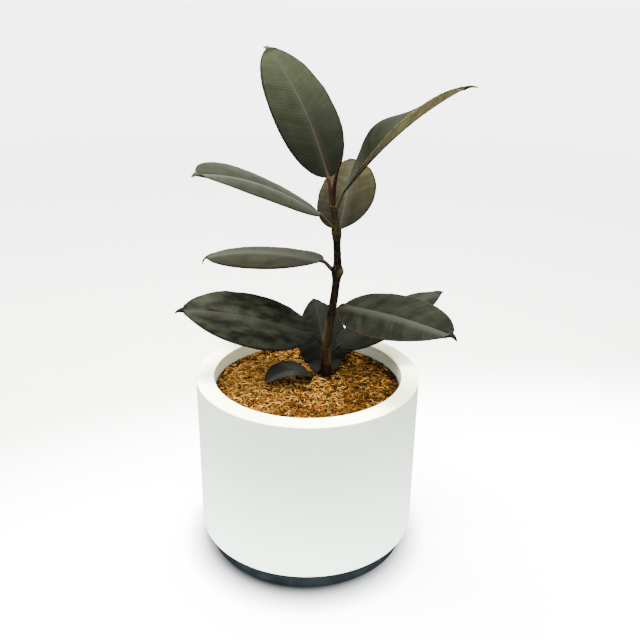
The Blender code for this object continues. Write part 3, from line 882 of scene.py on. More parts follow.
def shred_material(name, colour):
    """One tone of the shreds, with fibres, a lighter worn grain, and painted shade below each shred's crest.
    """
    material, tree, shader = new_material(name)
    marks = mottle(tree, place_on_object(tree), SHREDS)
    dark = toned(colour, 0.75)
    tone = blend_colours(tree, marks["Patches"], dark, toned(colour, 1.25))
    tone = blend_colours(tree, times(tree, marks["Grains"], 0.25), tone, dark)
    # Painted shade below each shred's crest
    crest = stored_number(tree, "crest")
    tone = scaled(tree, tone, ramp(tree, crest, *CREST_EDGES, SHADED_SHARE, 1.0))
    coat(tree, shader, tone, SHREDS, marks["Height"])
    return material


def bark_material(stem):
    """Bark whose colour changes with height, and corky rings and pores."""
    material, tree, shader = new_material("stem_bark_finish")
    place = place_on_object(tree)
    height = maths(tree, "SUBTRACT", apart(tree, place)["Z"], STEM_FOOT)
    stretched = add_node(tree, "ShaderNodeMapping", {"Vector": place, "Scale": (1.0, 1.0, BARK_STRETCH)})
    marks = mottle(tree, stretched.outputs[0], BARK)
    turn = stored_number(tree, "rightness")
    sides = {
        "all round": 1.0,
        "right": ramp(tree, turn, 0.10, 0.85),
        "left": ramp(tree, turn, -0.90, -0.20, 1.0, 0.0),
        "front right": ramp(tree, turn, -0.30, 0.60),
    }
    tone = stem.foot_bark
    for low, high, colour in BARK_CHANGES:
        tone = blend_colours(tree, ramp(tree, height, low, high), tone, getattr(stem, colour))
    dark = blend_colours(tree, 0.65, tone, BARK_CREVICE)
    tone = blend_colours(tree, marks["Patches"], dark, tone)
    # Stretches on one side only are partly painted highlight
    for low, high, soft, side, share, colour in BARK_STRETCHES:
        spread = times(tree, between(tree, height, low, high, soft), share)
        tone = blend_colours(tree, times(tree, spread, sides[side]), tone, getattr(stem, colour))
    lines = times(tree, ramp(tree, marks["Patches"], 0.86, 1.0), between(tree, height, *PALE_LINES))
    tone = blend_colours(tree, times(tree, lines, 0.45), tone, stem.pale_bark_and_highlight)
    tone = blend_colours(tree, times(tree, stored_number(tree, "corky"), 0.7), tone, stem.scar)
    coat(tree, shader, tone, BARK, marks["Height"])
    return material


def sheath_material(stem):
    """The bud's smooth maroon sheath, greener at its foot."""
    material, tree, shader = new_material("bud_sheath_finish")
    place = place_on_object(tree)
    height = apart(tree, place)["Z"]
    stretched = add_node(tree, "ShaderNodeMapping", {"Vector": place, "Scale": (1.0, 1.0, SHEATH_STRETCH)})
    marks = mottle(tree, stretched.outputs[0], SHEATH)
    top = STEM_FOOT + STEM_HEIGHT
    tone = blend_colours(tree, ramp(tree, height, top, top + 0.02), stem.young_bark, stem.sheath)
    tone = blend_colours(tree, times(tree, marks["Patches"], 0.6), tone, toned(stem.sheath, 0.4))
    coat(tree, shader, tone, SHEATH, marks["Height"])
    return material


def upper_face(tree, leaf, look, upper, blade, veins):
    """The upper face: its unevenness, partly painted sheen, side veins, the band of painted sheen beside the
    rib, the tip painted lighter, and the rib.
    """
    face = blend_colours(tree, veins["Band"], toned(upper, 1 - leaf.banding), toned(upper, 1 + leaf.banding))
    streaks = times(tree, veins["Streak"], STREAK_SHARE)
    face = blend_colours(tree, streaks, face, toned(upper, STREAK_DARKNESS))
    lines = times(tree, veins["Line"], ramp(tree, blade.along, *VEIN_FADE, *VEIN_SHARES))
    lines = times(tree, lines, ramp(tree, veins["Band"], 0.0, 1.0, VEIN_IN_DARK_BAND, 1.0))
    lines = times(tree, times(tree, lines, blade.clear_of_rib), 1.0 - VEIN_LOSS_WITH_AGE * leaf.age)
    face = blend_colours(tree, lines, face, toned(upper, VEIN_LIGHTNESS))
    # Random patches, partly painted sheen
    uneven = (1.0 - PATCH_DARKNESS * leaf.mottle, 1.0 + PATCH_LIGHTNESS * leaf.mottle)
    face = scaled(tree, face, ramp(tree, veins["Mottle"], 0.0, 1.0, *uneven))
    # The tip is painted lighter than where the blade starts, as sheen
    face = scaled(tree, face, ramp(tree, blade.along, 0.0, 1.0, leaf.tip_sheen ** -0.5, leaf.tip_sheen ** 0.5))
    # Band of painted sheen beside the rib, only on the lit half where lit_side is set
    beside = opposite(tree, ramp(tree, blade.out, RIB_SHEEN_FROM, RIB_SHEEN_YOUNG + RIB_SHEEN_GROWTH * leaf.age))
    if leaf.lit_side:
        lit = times(tree, blade.across, leaf.lit_side)
        beside = times(tree, beside, ramp(tree, lit, -HALVES_MEET, HALVES_MEET))
    beside = times(tree, beside, leaf.rib_sheen)
    face = blend_colours(tree, beside, face, mix_values(look.young_rib_sheen, look.old_rib_sheen, leaf.age))
    rib_width = ramp(tree, blade.along, 0.0, 1.0, *RIB_WIDTHS)
    rib = opposite(tree, ramp(tree, maths(tree, "DIVIDE", blade.out, rib_width), *RIB_EDGES))
    rib_share = RIB_SHARE - RIB_LOSS_WITH_AGE * leaf.age
    rib = times(tree, rib, ramp(tree, blade.along, *RIB_FADE, rib_share, 0.0))
    rib_start = mix_values(look.rib, mix_values(upper, look.vein, 0.7), min(leaf.age * 1.1, 0.85))
    rib_end = mix_values(upper, look.vein, 0.9)
    rib_tone = blend_colours(tree, ramp(tree, blade.along, *RIB_TONE_CHANGE), rib_start, rib_end)
    return blend_colours(tree, rib, face, rib_tone)


def lower_face(tree, leaf, look, blade, veins):
    """The lower face: its side veins, lighter towards the tip partly as painted light, and the rib's keel."""
    lower = mix_values(look.underside, look.old_underside, leaf.age)
    under = blend_colours(tree, veins["Band"], *(toned(lower, share) for share in UNDER_BANDS))
    lines = times(tree, veins["Line"], UNDER_VEIN_SHARE)
    under = blend_colours(tree, lines, under, toned(lower, UNDER_VEIN_DARKNESS))
    # Painted lighter towards the tip, partly as painted light
    under = scaled(tree, under, ramp(tree, blade.along, *UNDER_FADE, *UNDERSIDE_SHARES))
    keel_width = ramp(tree, blade.along, 0.0, 1.0, *KEEL_WIDTHS)
    keel = opposite(tree, ramp(tree, maths(tree, "DIVIDE", blade.out, keel_width), *KEEL_EDGES))
    return blend_colours(tree, keel, under, look.keel)


def with_margin(tree, leaf, look, tone, upper, blade):
    """The faces with their thin dark margin, partly painted shade, pale below on the newest leaves, and the
    drip tip's tone.
    """
    # The dark margin, partly painted shade of the edge's thickness
    width = ramp(tree, blade.top, *TURNED_EDGE, LOWER_MARGIN - LOWER_MARGIN_LOSS * leaf.age, UPPER_MARGIN)
    margin = opposite(tree, ramp(tree, maths(tree, "DIVIDE", blade.edge, width), *MARGIN_EDGES))
    pale = mix_values(look.pale_margin, look.margin, min(leaf.age / PALE_UNTIL_AGE, 1.0) ** 1.5)
    above = mix_values(look.margin, look.edge, leaf.pale_edge)
    at_tip = mix_values(upper, look.margin, 0.6)
    colour = blend_colours(tree, ramp(tree, blade.top, *TURNED_EDGE), pale, above)
    colour = blend_colours(tree, ramp(tree, blade.along, *TIP_MARGIN), colour, at_tip)
    edged = blend_colours(tree, times(tree, margin, MARGIN_SHARE), tone, colour)
    return edged, mix_values(pale, look.margin, 0.93)


def leaf_material(leaf, look):
    """One leaf's faces, rib, side veins, margin and stalk, in the colours of its age."""
    material, tree, shader = new_material(leaf.name + "_finish")
    if leaf.age < GROWN_AGE:
        upper = mix_values(look.young, look.grown, leaf.age / GROWN_AGE)
    else:
        upper = mix_values(look.grown, look.old, leaf.age / GROWN_AGE - 1)
    # Partly painted light: the tan face stands partly for sheen, and each leaf's lightness partly for the
    # light and shade on it
    upper = toned(mix_values(upper, look.tan, leaf.tan), leaf.bright)
    blade = SimpleNamespace()
    blade.run, blade.across, blade.top = stored_numbers(tree, "blade_place")
    blade.along, blade.edge, blade.half = stored_numbers(tree, "blade_span")
    blade.out = maths(tree, "ABSOLUTE", blade.across)
    blade.clear_of_rib = ramp(tree, blade.out, *CLEAR_OF_RIB)
    inputs = {"Run": blade.run, "Across": blade.across, "Spacing": look.vein_spacing,
              "Seed": LEAVES.index(leaf) * 3.7}
    group = shared_group(make_vein_group, "side_veins")
    veins = add_node(tree, "ShaderNodeGroup", inputs, node_tree=group).outputs

    face = upper_face(tree, leaf, look, upper, blade, veins)
    under = lower_face(tree, leaf, look, blade, veins)
    tone = blend_colours(tree, ramp(tree, blade.top, 0.3, 0.7), under, face)
    tone, tail_tone = with_margin(tree, leaf, look, tone, upper, blade)

    stalk = opposite(tree, ramp(tree, blade.run, *STALK_ENDS))
    stalk = times(tree, stalk, opposite(tree, ramp(tree, blade.out, *STALK_HALF_WIDTHS)))
    stalk_tone = mix_values(look.stalk_young, look.stalk_old, min(leaf.age * 1.3, 1.0))
    stalk_tone = mix_values(stalk_tone, look.stalk_green, leaf.green_stalk)
    tone = blend_colours(tree, stalk, tone, stalk_tone)
    narrow = ramp(tree, blade.half, *TAIL_HALF_WIDTHS, 1.0, 0.0)
    tail = times(tree, ramp(tree, blade.along, *TAIL_PLACE), narrow)
    tone = blend_colours(tree, tail, tone, tail_tone)

    bare = maths(tree, "MAXIMUM", stalk, tail)
    sheen = ramp(tree, veins["Streak"], 0.0, 1.0, *LEAF_ROUGHNESS)
    dull = maths(tree, "ADD", sheen, UNDERSIDE_DULLER)
    rough = add_node(tree, "ShaderNodeMix", {0: blade.top, 2: dull, 3: sheen}, data_type="FLOAT")
    rough = add_node(tree, "ShaderNodeMix", {0: bare, 2: rough.outputs[0], 3: STALK_ROUGHNESS},
                     data_type="FLOAT")
    relief = times(tree, veins["Height"], blade.clear_of_rib)
    surface = Surface(shine=LEAF_SHINE * leaf.gloss, depth=LEAF_RELIEF)
    coat(tree, shader, tone, surface, relief, rough.outputs[0])
    return material


def deselect_all():
    """Leave nothing selected."""
    if bpy.context.object and bpy.context.object.mode != "OBJECT":
        bpy.ops.object.mode_set(mode="OBJECT")
    bpy.ops.object.select_all(action="DESELECT")


def choose(kind, test):
    """In edit mode, select only the faces or the edges that pass a test."""
    mesh = bpy.context.object.data
    bpy.ops.mesh.select_mode(type=kind)
    bpy.ops.mesh.select_all(action="DESELECT")
    shape = bmesh.from_edit_mesh(mesh)
    for part in (shape.faces if kind == "FACE" else shape.edges):
        if test(part):
            part.select_set(True)
    shape.select_flush_mode()
    bmesh.update_edit_mesh(mesh)


def facing_up_at(height):
    """A test for flat faces that look up at a height."""
    return lambda face: face.normal.z > 0.9 and abs(face.calc_center_median().z - height) < LEVEL_SLACK


def ring_edge(radius, height):
    """A test for the edges of a level circle."""
    return lambda edge: all(abs(vert.co.xy.length - radius) < RADIUS_SLACK
                            and abs(vert.co.z - height) < LEVEL_SLACK for vert in edge.verts)


def step_to(radius, from_radius, rise=0.0):
    """Extrude the chosen face up or down, and bring its edge to another radius."""
    bpy.ops.mesh.extrude_region_move(TRANSFORM_OT_translate={"value": (0.0, 0.0, rise)})
    if radius != from_radius:
        share = radius / from_radius
        bpy.ops.transform.resize(value=(share, share, 1.0), center_override=(0.0, 0.0, 0.0))


def finish_piece(piece, name, material, nodes=(), angle=35):
    """Name, shade and dress a piece, put its place into its mesh, and join it to the body."""
    deselect_all()
    piece.select_set(True)
    bpy.context.view_layer.objects.active = piece
    bpy.ops.object.transform_apply(location=True, rotation=True, scale=True)
    bpy.ops.object.shade_smooth_by_angle(angle=radians(angle))
    piece.name = name
    piece.data.name = name
    piece.data.materials.clear()
    piece.data.materials.append(material)
    if not len(piece.data.polygons):
        raise RuntimeError(f"{name} has no faces")
    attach(piece, "root")
    if nodes:
        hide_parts(*nodes)
    deselect_all()
    return piece


def mesh_piece(name, points, faces, material, nodes=(), angle=60):
    """A piece made straight from points and faces."""
    mesh = bpy.data.meshes.new(name)
    mesh.from_pydata(np.asarray(points).tolist(), [], faces)
    mesh.update()
    piece = bpy.data.objects.new(name, mesh)
    bpy.context.collection.objects.link(piece)
    return finish_piece(piece, name, material, nodes, angle)


def ring_faces(rings, count):
    """Faces of a tube of rings, and its two closed ends."""
    faces = []
    for near in range(rings - 1):
        start, ahead = near * count, (near + 1) * count
        for i in range(count):
            j = (i + 1) % count
            faces.append((start + i, ahead + i, ahead + j, start + j))
    faces.append(tuple(range(count)))
    faces.append(tuple((rings - 1) * count + i for i in reversed(range(count))))
    return faces


def round_edge(radius, level, rounding, steps):
    """In edit mode, round the edge of a level circle."""
    choose("EDGE", ring_edge(radius, level))
    bpy.ops.mesh.bevel(offset=rounding, segments=steps, affect="EDGES", profile=0.5)


def start_round(sides, radius, low, height, top_radius=None):
    """Add an upright drum, or a cone, and choose its top face in edit mode."""
    deselect_all()
    form = {"vertices": sides, "depth": height, "end_fill_type": "NGON", "location": (0, 0, low + height / 2)}
    if top_radius is None:
        bpy.ops.mesh.primitive_cylinder_add(radius=radius, **form)
    else:
        bpy.ops.mesh.primitive_cone_add(radius1=radius, radius2=top_radius, **form)
    bpy.ops.object.transform_apply(location=True, rotation=True, scale=True)
    bpy.ops.object.mode_set(mode="EDIT")
    choose("FACE", facing_up_at(low + height))
    return bpy.context.object


def make_shell(planter):
    """The drum: a flat rim, a short skirt inside the mouth, and the wide hollow below it."""
    skirt = MOUTH_RADIUS + SKIRT_THICKNESS
    skirt_end = RIM - SKIRT_DEPTH
    inner = PLANTER_RADIUS - WALL
    height = RIM - BODY_BOTTOM
    piece = start_round(PLANTER_SIDES, PLANTER_RADIUS, BODY_BOTTOM, height)
    step_to(MOUTH_RADIUS, PLANTER_RADIUS)
    step_to(MOUTH_RADIUS, MOUTH_RADIUS, -SKIRT_DEPTH)
    step_to(skirt, MOUTH_RADIUS)
    step_to(skirt, skirt, SKIRT_DEPTH - RIM_THICKNESS)
    step_to(inner, skirt)
    step_to(inner, inner, -(height - RIM_THICKNESS - WALL))
    for radius, level, rounding in (
        (PLANTER_RADIUS, RIM, planter.rim_rounding),
        (MOUTH_RADIUS, RIM, planter.rim_rounding),
        (MOUTH_RADIUS, skirt_end, SKIRT_ROUNDING),
        (skirt, skirt_end, SKIRT_ROUNDING),
        (PLANTER_RADIUS, BODY_BOTTOM, planter.heel_rounding),
    ):
        round_edge(radius, level, rounding, 5)
    bpy.ops.object.mode_set(mode="OBJECT")
    return finish_piece(piece, "drum_shell", white_plastic(planter), ["planter_shell"])


def make_foot(planter):
    """The black foot, set back under the drum, with a shallow groove round its side."""
    radius = FOOT_HIGH.x
    height = FOOT_HIGH.z
    narrow = radius - FOOT_GROOVE
    piece = start_round(PLANTER_SIDES, radius, 0.0, height * FOOT_BAND)
    step_to(narrow, radius)
    step_to(narrow, narrow, height * (1 - FOOT_BAND))
    for level in (0.0, height * FOOT_BAND):
        round_edge(radius, level, FOOT_ROUNDING, 3)
    bpy.ops.object.mode_set(mode="OBJECT")
    material = black_plastic("foot_plastic", planter.foot_black)
    return finish_piece(piece, "recessed_foot", material, ["planter_foot"])


def make_liner(planter):
    """The thin black nursery pot that holds the soil inside the drum."""
    radius = LINER_HIGH.x
    inner = radius - LINER_WALL
    height = LINER_HIGH.z - LINER_LOW.z
    piece = start_round(FILLING_SIDES, LINER_BASE_RADIUS, LINER_LOW.z, height, radius)
    step_to(inner, radius)
    step_to(LINER_BASE_RADIUS - LINER_WALL, inner, LINER_WALL - height)
    for edge_radius in (radius, inner):
        round_edge(edge_radius, LINER_HIGH.z, LINER_ROUNDING, 4)
    bpy.ops.object.mode_set(mode="OBJECT")
    material = black_plastic("liner_plastic", planter.liner_black)
    return finish_piece(piece, "nursery_pot", material, ["nursery_liner"])


def make_mulch_base(mulch):
    """The uneven bed that the shreds lie on."""
    depth = MULCH_HIGH.z - MULCH_LOW.z
    top = MULCH_HIGH.z - mulch.bed_bumps / 2
    piece = start_round(FILLING_SIDES, BED_RADIUS, top - depth, depth)
    for _ in range(BED_RINGS):
        bpy.ops.mesh.inset(thickness=BED_RADIUS / (BED_RINGS + 1))
    bpy.ops.object.mode_set(mode="OBJECT")
    uneven = [vert.index for vert in piece.data.vertices
              if vert.co.z > top - LEVEL_SLACK and vert.co.xy.length < FILLING_RADIUS - BED_BORDER]
    piece.vertex_groups.new(name="top").add(uneven, 1.0, "REPLACE")
    clouds = bpy.data.textures.new("mulch_bumps", "CLOUDS")
    clouds.noise_scale = BED_BUMP_SIZE
    clouds.noise_depth = 2
    displace = piece.modifiers.new("bumps", "DISPLACE")
    displace.texture = clouds
    displace.texture_coords = "LOCAL"
    displace.direction = "Z"
    displace.strength = mulch.bed_bumps
    displace.mid_level = 0.5
    displace.vertex_group = "top"
    piece.select_set(True)
    bpy.context.view_layer.objects.active = piece
    bpy.ops.object.modifier_apply(modifier=displace.name)
    material = crumbly("mulch_bed_finish", mulch.bed, BED)
    return finish_piece(piece, "mulch_base", material, ["mulch_bed"], angle=70)


# Tones of the shreds: name, colour, share of the shreds, and how low in the bed they lie. The darker tones
# lie lower, partly their own colour and partly painted shade between the shreds
SHRED_TONES = (
    ("straw", (0.360, 0.190, 0.042), 0.16, 0.0),
    ("gold", (0.235, 0.098, 0.014), 0.26, 0.15),
    ("tan", (0.115, 0.039, 0.006), 0.24, 0.35),
    ("rust", (0.042, 0.013, 0.002), 0.16, 0.65),
    ("olive", (0.048, 0.033, 0.004), 0.09, 0.40),
    ("umber", (0.006, 0.002, 0.001), 0.11, 1.0),
)
SHRED_RINGS = 10
SHRED_SIDES = 4

# Which corner of a shred's section is its crest, and how the painted shade below it fades
SHRED_CREST = (0.0, 1.0, 0.0, 0.0)
CREST_EDGES = (0.20, 0.85)
SHADED_SHARE = 0.08

# Lay of the shreds: distances from the bed's border and top, bends, and how far each strays
SHRED_BORDER = 0.0025
SHRED_EDGE = 0.0065
SHRED_SUNK = 0.0004
SHRED_LAYER = 0.0032
SHRED_LEVEL_SPREAD = 0.0011
SHRED_BEND = 3.5
SHRED_BEND_SPREAD = 0.9
SHRED_SWING_SPREAD = 0.6
SHRED_TILT_SPREAD = 0.13
SHRED_ROLL_SPREAD = 0.55
SHRED_LENGTHS = (0.45, 2.0)
SHRED_ARCH = 0.30
SHRED_TAPER = 0.72
SHRED_TAPER_POWER = 2.5
SHRED_LENGTH_SPREAD = 0.32
SHRED_WIDTH_SPREAD = 0.30
SHRED_THICKNESS_SPREAD = 0.25
SHRED_OVER_LINER = 0.0008
SHRED_CLEARANCES = (0.0006, 0.0008)
SHRED_AT_STEM = 0.001

# Where the tones of the shreds change over the bed; the shade round the stem's foot is painted
STEM_SHADE_RADIUS = 0.020
RIGHT_FROM = 0.02
TONE_REACH = 0.10
GOLDEN_REACH = 0.12


def hump(value, centre, spread):
    """1 at a centre, and falling off evenly on both sides."""
    return np.exp(-((value - centre) / spread) ** 2)


def from_stem_foot(x, y):
    """How far places are from the stem's axis where it leaves the mulch, seen from above."""
    return np.hypot(x - STEM_COURSE[0][1], y - STEM_SET_BACK)


def deal_tones(draw, places, count):
    """A tone for each shred: darker by the stem and in front as painted shade, olive on the right, golden at
    the back left.
    """
    x, y = places.T
    tone = {row[0]: number for number, row in enumerate(SHRED_TONES)}
    light = slice(tone["straw"], tone["gold"] + 1)
    warm = slice(tone["straw"], tone["tan"] + 1)
    # Painted shade round the stem's foot
    near = hump(from_stem_foot(x, y), 0.0, STEM_SHADE_RADIUS)
    right = np.clip((x - RIGHT_FROM) / TONE_REACH, 0, 1)
    golden = np.clip((y - x) / GOLDEN_REACH, -0.6, 1)
    # Painted shade at the front
    front = np.clip(-y / TONE_REACH, 0, 1)
    weights = np.tile([row[2] for row in SHRED_TONES], (count, 1))
    weights[:, warm] *= (1 - 0.75 * near)[:, None]
    weights[:, tone["umber"]] += 0.6 * near
    weights[:, tone["olive"]] += 0.12 * right
    weights[:, tone["gold"]] *= 1 - 0.3 * right
    weights[:, light] *= (1 + 0.8 * golden)[:, None]
    weights[:, light] *= (1 - 0.75 * front)[:, None]
    steps = np.cumsum(weights, axis=1)
    steps /= steps[:, -1:]
    return (draw.random(count)[:, None] > steps).sum(axis=1)


def shred_points(centre, heading, bend, swing, tilt, roll, length, width, thickness):
    """Rings of many curled shreds at once, thin at both ends."""
    count = len(centre)
    t = np.linspace(-0.5, 0.5, SHRED_RINGS)
    turn = heading[:, None] + bend[:, None] * t + swing[:, None] * np.sin(2 * pi * t)
    step = length[:, None] / (SHRED_RINGS - 1)
    x = np.cumsum(np.cos(turn) * step, axis=1)
    y = np.cumsum(np.sin(turn) * step, axis=1)
    x = centre[:, :1] + x - x.mean(axis=1, keepdims=True)
    y = centre[:, 1:2] + y - y.mean(axis=1, keepdims=True)
    z = centre[:, 2:] + tilt[:, None] * t * length[:, None] - SHRED_ARCH * length[:, None] * t**2
    side = np.stack((-np.sin(turn), np.cos(turn), np.zeros_like(turn)), axis=2)
    up = np.zeros_like(side)
    up[:, :, 2] = 1
    lean = (roll[:, None] * (1 + t))[:, :, None]
    wide = np.cos(lean) * side + np.sin(lean) * up
    thin = np.cos(lean) * up - np.sin(lean) * side
    taper = (1 - (2 * np.abs(t)) ** SHRED_TAPER_POWER * SHRED_TAPER)[None, :, None]
    line = np.stack((x, y, z), axis=2)
    half = width[:, None, None] / 2 * taper
    flat = thickness[:, None, None] / 2 * taper
    corners = (line + half * wide, line + flat * thin, line - half * wide, line - flat * thin)
    rings = np.stack(corners, axis=2)
    return rings.reshape(count, SHRED_RINGS * SHRED_SIDES, 3)


def make_shreds(mulch):
    """The shredded mulch, one joined piece for each tone."""
    draw = np.random.default_rng(mulch.seed)
    count = mulch.strand_count
    radius = (FILLING_RADIUS - SHRED_BORDER) * np.sqrt(draw.random(count))
    angle = draw.random(count) * 2 * pi
    places = np.stack((radius * np.cos(angle), radius * np.sin(angle)), axis=1)
    tones = deal_tones(draw, places, count)
    # Darker tones lie lower, partly painted shade between the shreds
    sunk = np.array([row[3] for row in SHRED_TONES])[tones]
    level = MULCH_TOP - SHRED_SUNK - SHRED_LAYER * sunk + draw.normal(0, SHRED_LEVEL_SPREAD, count)
    over_edge = radius > FILLING_RADIUS - SHRED_EDGE
    level = np.where(over_edge, LINER_HIGH.z + SHRED_OVER_LINER, level)
    heading = draw.random(count) * 2 * pi
    bend = draw.normal(0, SHRED_BEND_SPREAD, count) + draw.choice((-SHRED_BEND, SHRED_BEND), count)
    swing = draw.normal(0, SHRED_SWING_SPREAD, count)
    tilt = draw.normal(0, SHRED_TILT_SPREAD, count)
    roll = draw.normal(0, SHRED_ROLL_SPREAD, count)
    length = mulch.strand_length * np.clip(np.exp(draw.normal(0, SHRED_LENGTH_SPREAD, count)), *SHRED_LENGTHS)
    width = mulch.strand_width * np.exp(draw.normal(0, SHRED_WIDTH_SPREAD, count))
    thickness = mulch.strand_thickness * np.exp(draw.normal(0, SHRED_THICKNESS_SPREAD, count))
    centre = np.column_stack((places, level))
    points = shred_points(centre, heading, bend, swing, tilt, roll, length, width, thickness)
    x, y = points[:, :, 0], points[:, :, 1]
    at_mouth, at_border = SHRED_CLEARANCES
    widest = np.where(over_edge, MOUTH_RADIUS - at_mouth, FILLING_RADIUS - at_border)
    clear_of_stem = from_stem_foot(x, y).min(axis=1) > STEM_COURSE[0][2] / 2 - SHRED_AT_STEM
    kept = (np.hypot(x, y).max(axis=1) < widest) & clear_of_stem
    pattern = ring_faces(SHRED_RINGS, SHRED_SIDES)
    corners = SHRED_RINGS * SHRED_SIDES
    for tone, (name, colour, _share, _sunk) in enumerate(SHRED_TONES):
        chosen = points[kept & (tones == tone)]
        faces = [tuple(corner + start for corner in face)
                 for start in range(0, len(chosen) * corners, corners) for face in pattern]
        material = shred_material(f"mulch_{name}_finish", colour)
        piece = mesh_piece(f"mulch_{name}", chosen.reshape(-1, 3), faces, material, angle=100)
        add_float(piece, "crest", np.tile(SHRED_CREST, len(chosen) * SHRED_RINGS))


def stem_at(height):
    """Sideways place and diameter of the stem, on a smooth curve through its course."""
    heights = [row[0] for row in STEM_COURSE]
    last = len(heights) - 2
    i = min(max(int(np.searchsorted(heights, height)) - 1, 0), last)
    span = heights[i + 1] - heights[i]
    t = min(max((height - heights[i]) / span, 0.0), 1.0)
    values = []
    for column in (1, 2):
        here, there = STEM_COURSE[i][column], STEM_COURSE[i + 1][column]
        slopes = []
        for k in (i, i + 1):
            low, high = STEM_COURSE[max(k - 1, 0)], STEM_COURSE[min(k + 1, last + 1)]
            slopes.append((high[column] - low[column]) / (high[0] - low[0]) * span)
        values.append((2 * t**3 - 3 * t**2 + 1) * here + (t**3 - 2 * t**2 + t) * slopes[0]
                      + (3 * t**2 - 2 * t**3) * there + (t**3 - t**2) * slopes[1])
    place, diameter = values
    for centre, extra, spread in SWELLINGS:
        diameter += extra * hump(height, centre, spread)
    return place, diameter


def stem_axis(height):
    """Point on the stem's axis at a height above its foot."""
    return np.array((stem_at(height)[0], STEM_SET_BACK, STEM_FOOT + height))


def add_float(piece, name, values):
    """Store one number for each point of a piece."""
    layer = piece.data.attributes.new(name, "FLOAT", "POINT")
    layer.data.foreach_set("value", np.asarray(values, float).ravel())


def add_vectors(piece, name, rows):
    """Store three numbers for each point of a piece."""
    layer = piece.data.attributes.new(name, "FLOAT_VECTOR", "POINT")
    layer.data.foreach_set("vector", np.asarray(rows, float).ravel())


def spokes(angles):
    """Level unit vectors at angles round an upright axis."""
    return np.stack((np.cos(angles), np.sin(angles), np.zeros(len(angles))), axis=1)


def bark_ridges(angles, height):
    """Two sizes of lengthwise ridges round the stem at a height."""
    return np.array([
        noise.noise((2.6 * cos(a), 2.6 * sin(a), height * 26))
        + 0.5 * noise.noise((6 * cos(a), 6 * sin(a), height * 70))
        for a in angles])


def make_stem(stem):
    """The stem with fluted foot, lengthwise ridges, leaf scars and corky pores."""
    draw = np.random.default_rng(11)
    angles = np.arange(STEM_SIDES) * 2 * pi / STEM_SIDES
    pores = [(draw.uniform(*PORE_HEIGHTS), draw.uniform(0, 2 * pi), draw.uniform(*PORE_SIZES))
             for _ in range(PORE_COUNT)]
    bud_side = np.clip(np.cos(angles - SIDE_BUD_TURN), 0, 1)
    points = []
    corky = []
    for height in np.linspace(0, STEM_HEIGHT, STEM_RINGS):
        radius = stem_at(height)[1] / 2
        old = np.clip(1 - height / OLD_BARK_TOP, 0, 1)
        aged = YOUNG_RIDGES + (1 - YOUNG_RIDGES) * old
        swell = stem.ridge_depth * aged * bark_ridges(angles, height)
        swell += FLUTE_DEPTH * np.exp(-height / FLUTE_FADE) * np.cos(FLUTES * angles + FLUTE_TURN)
        swell += SIDE_BUD_DEPTH * hump(height, *SIDE_BUD_PLACE) * bud_side
        cork = np.zeros(STEM_SIDES)
        for k, scar in enumerate(SCAR_HEIGHTS):
            slant = scar + SCAR_SLANT * np.cos(angles - SCAR_TURN * k)
            ring = hump(height, slant, SCAR_WIDTH)
            groove = hump(height, slant + SCAR_GROOVE_ABOVE, SCAR_GROOVE_WIDTH)
            swell += stem.scar_height * ring
            swell -= SCAR_GROOVE_SHARE * stem.scar_height * groove
            cork += SCAR_CORK * ring
        for level, turn, size in pores:
            if abs(level - height) < PORE_REACH:
                off = np.angle(np.exp(1j * (angles - turn))) * radius
                bump = hump(off, 0.0, PORE_WIDTH * size) * hump(height, level, PORE_LENGTH * size)
                swell += stem.pore_height * bump
                cork += bump * old
        points.append(stem_axis(height) + (radius + swell)[:, None] * spokes(angles))
        corky.append(cork)
    faces = [face[::-1] for face in ring_faces(STEM_RINGS, STEM_SIDES)]
    piece = mesh_piece("stem_bark", np.concatenate(points), faces, bark_material(stem),
                       ["main_stem"])
    add_float(piece, "corky", np.clip(np.concatenate(corky), 0, 1))
    add_float(piece, "rightness", np.tile(np.cos(angles), STEM_RINGS))
    return piece


def make_bud(stem):
    """The pointed sheath of the next leaf, rolled round itself along a winding seam."""
    foot = stem_axis(STEM_HEIGHT) + (0, 0, -BUD_SUNK)
    angles = np.arange(BUD_SIDES) * 2 * pi / BUD_SIDES
    points = []
    for along in np.linspace(0, 1, BUD_RINGS):
        radius = BUD_TIP_RADIUS + (BUD_RADIUS - BUD_TIP_RADIUS) * (1 - along**BUD_TAPER_POWER)
        if along > BUD_TIP_START:
            radius *= np.sqrt(max(1 - ((along - BUD_TIP_START) / (1 - BUD_TIP_START)) ** 2, 0.05))
        seam = (angles - SEAM_START - SEAM_TURN * along) % (2 * pi) / (2 * pi)
        folds = np.cos(BUD_FOLDS * angles + BUD_FOLD_TURN * along)
        swell = 1 + SEAM_STEP * (seam - 0.5) + BUD_FOLD_DEPTH * folds
        rise = (BUD_HEIGHT + TOUCH + BUD_SUNK) * along
        centre = foot + (BUD_LEAN * along**BUD_LEAN_POWER, 0, rise)
        points.append(centre + (radius * swell)[:, None] * spokes(angles))
    faces = [face[::-1] for face in ring_faces(BUD_RINGS, BUD_SIDES)]
    return mesh_piece("bud_sheath", np.concatenate(points), faces, sheath_material(stem),
                      ["terminal_bud"])


def directions(heading, slope):
    """Unit vectors of headings and slopes, in radians."""
    level = np.cos(slope)
    return np.stack((level * np.cos(heading), level * np.sin(heading), np.sin(slope)), axis=-1)


def blade_frames(leaf, along):
    """Forward, side and upward directions at places along the blade."""
    heading = np.radians(leaf.heading + leaf.sweep * along)
    slope = np.radians(leaf.rise - leaf.arch * along**ARCH_POWER)
    roll = np.radians(leaf.roll + leaf.twist * along)[:, None]
    forward = directions(heading, slope)
    flat = np.stack((np.sin(heading), -np.cos(heading), np.zeros_like(heading)), axis=1)
    square = np.cross(flat, forward)
    side = np.cos(roll) * flat + np.sin(roll) * square
    up = np.cos(roll) * square - np.sin(roll) * flat
    return forward, side, up


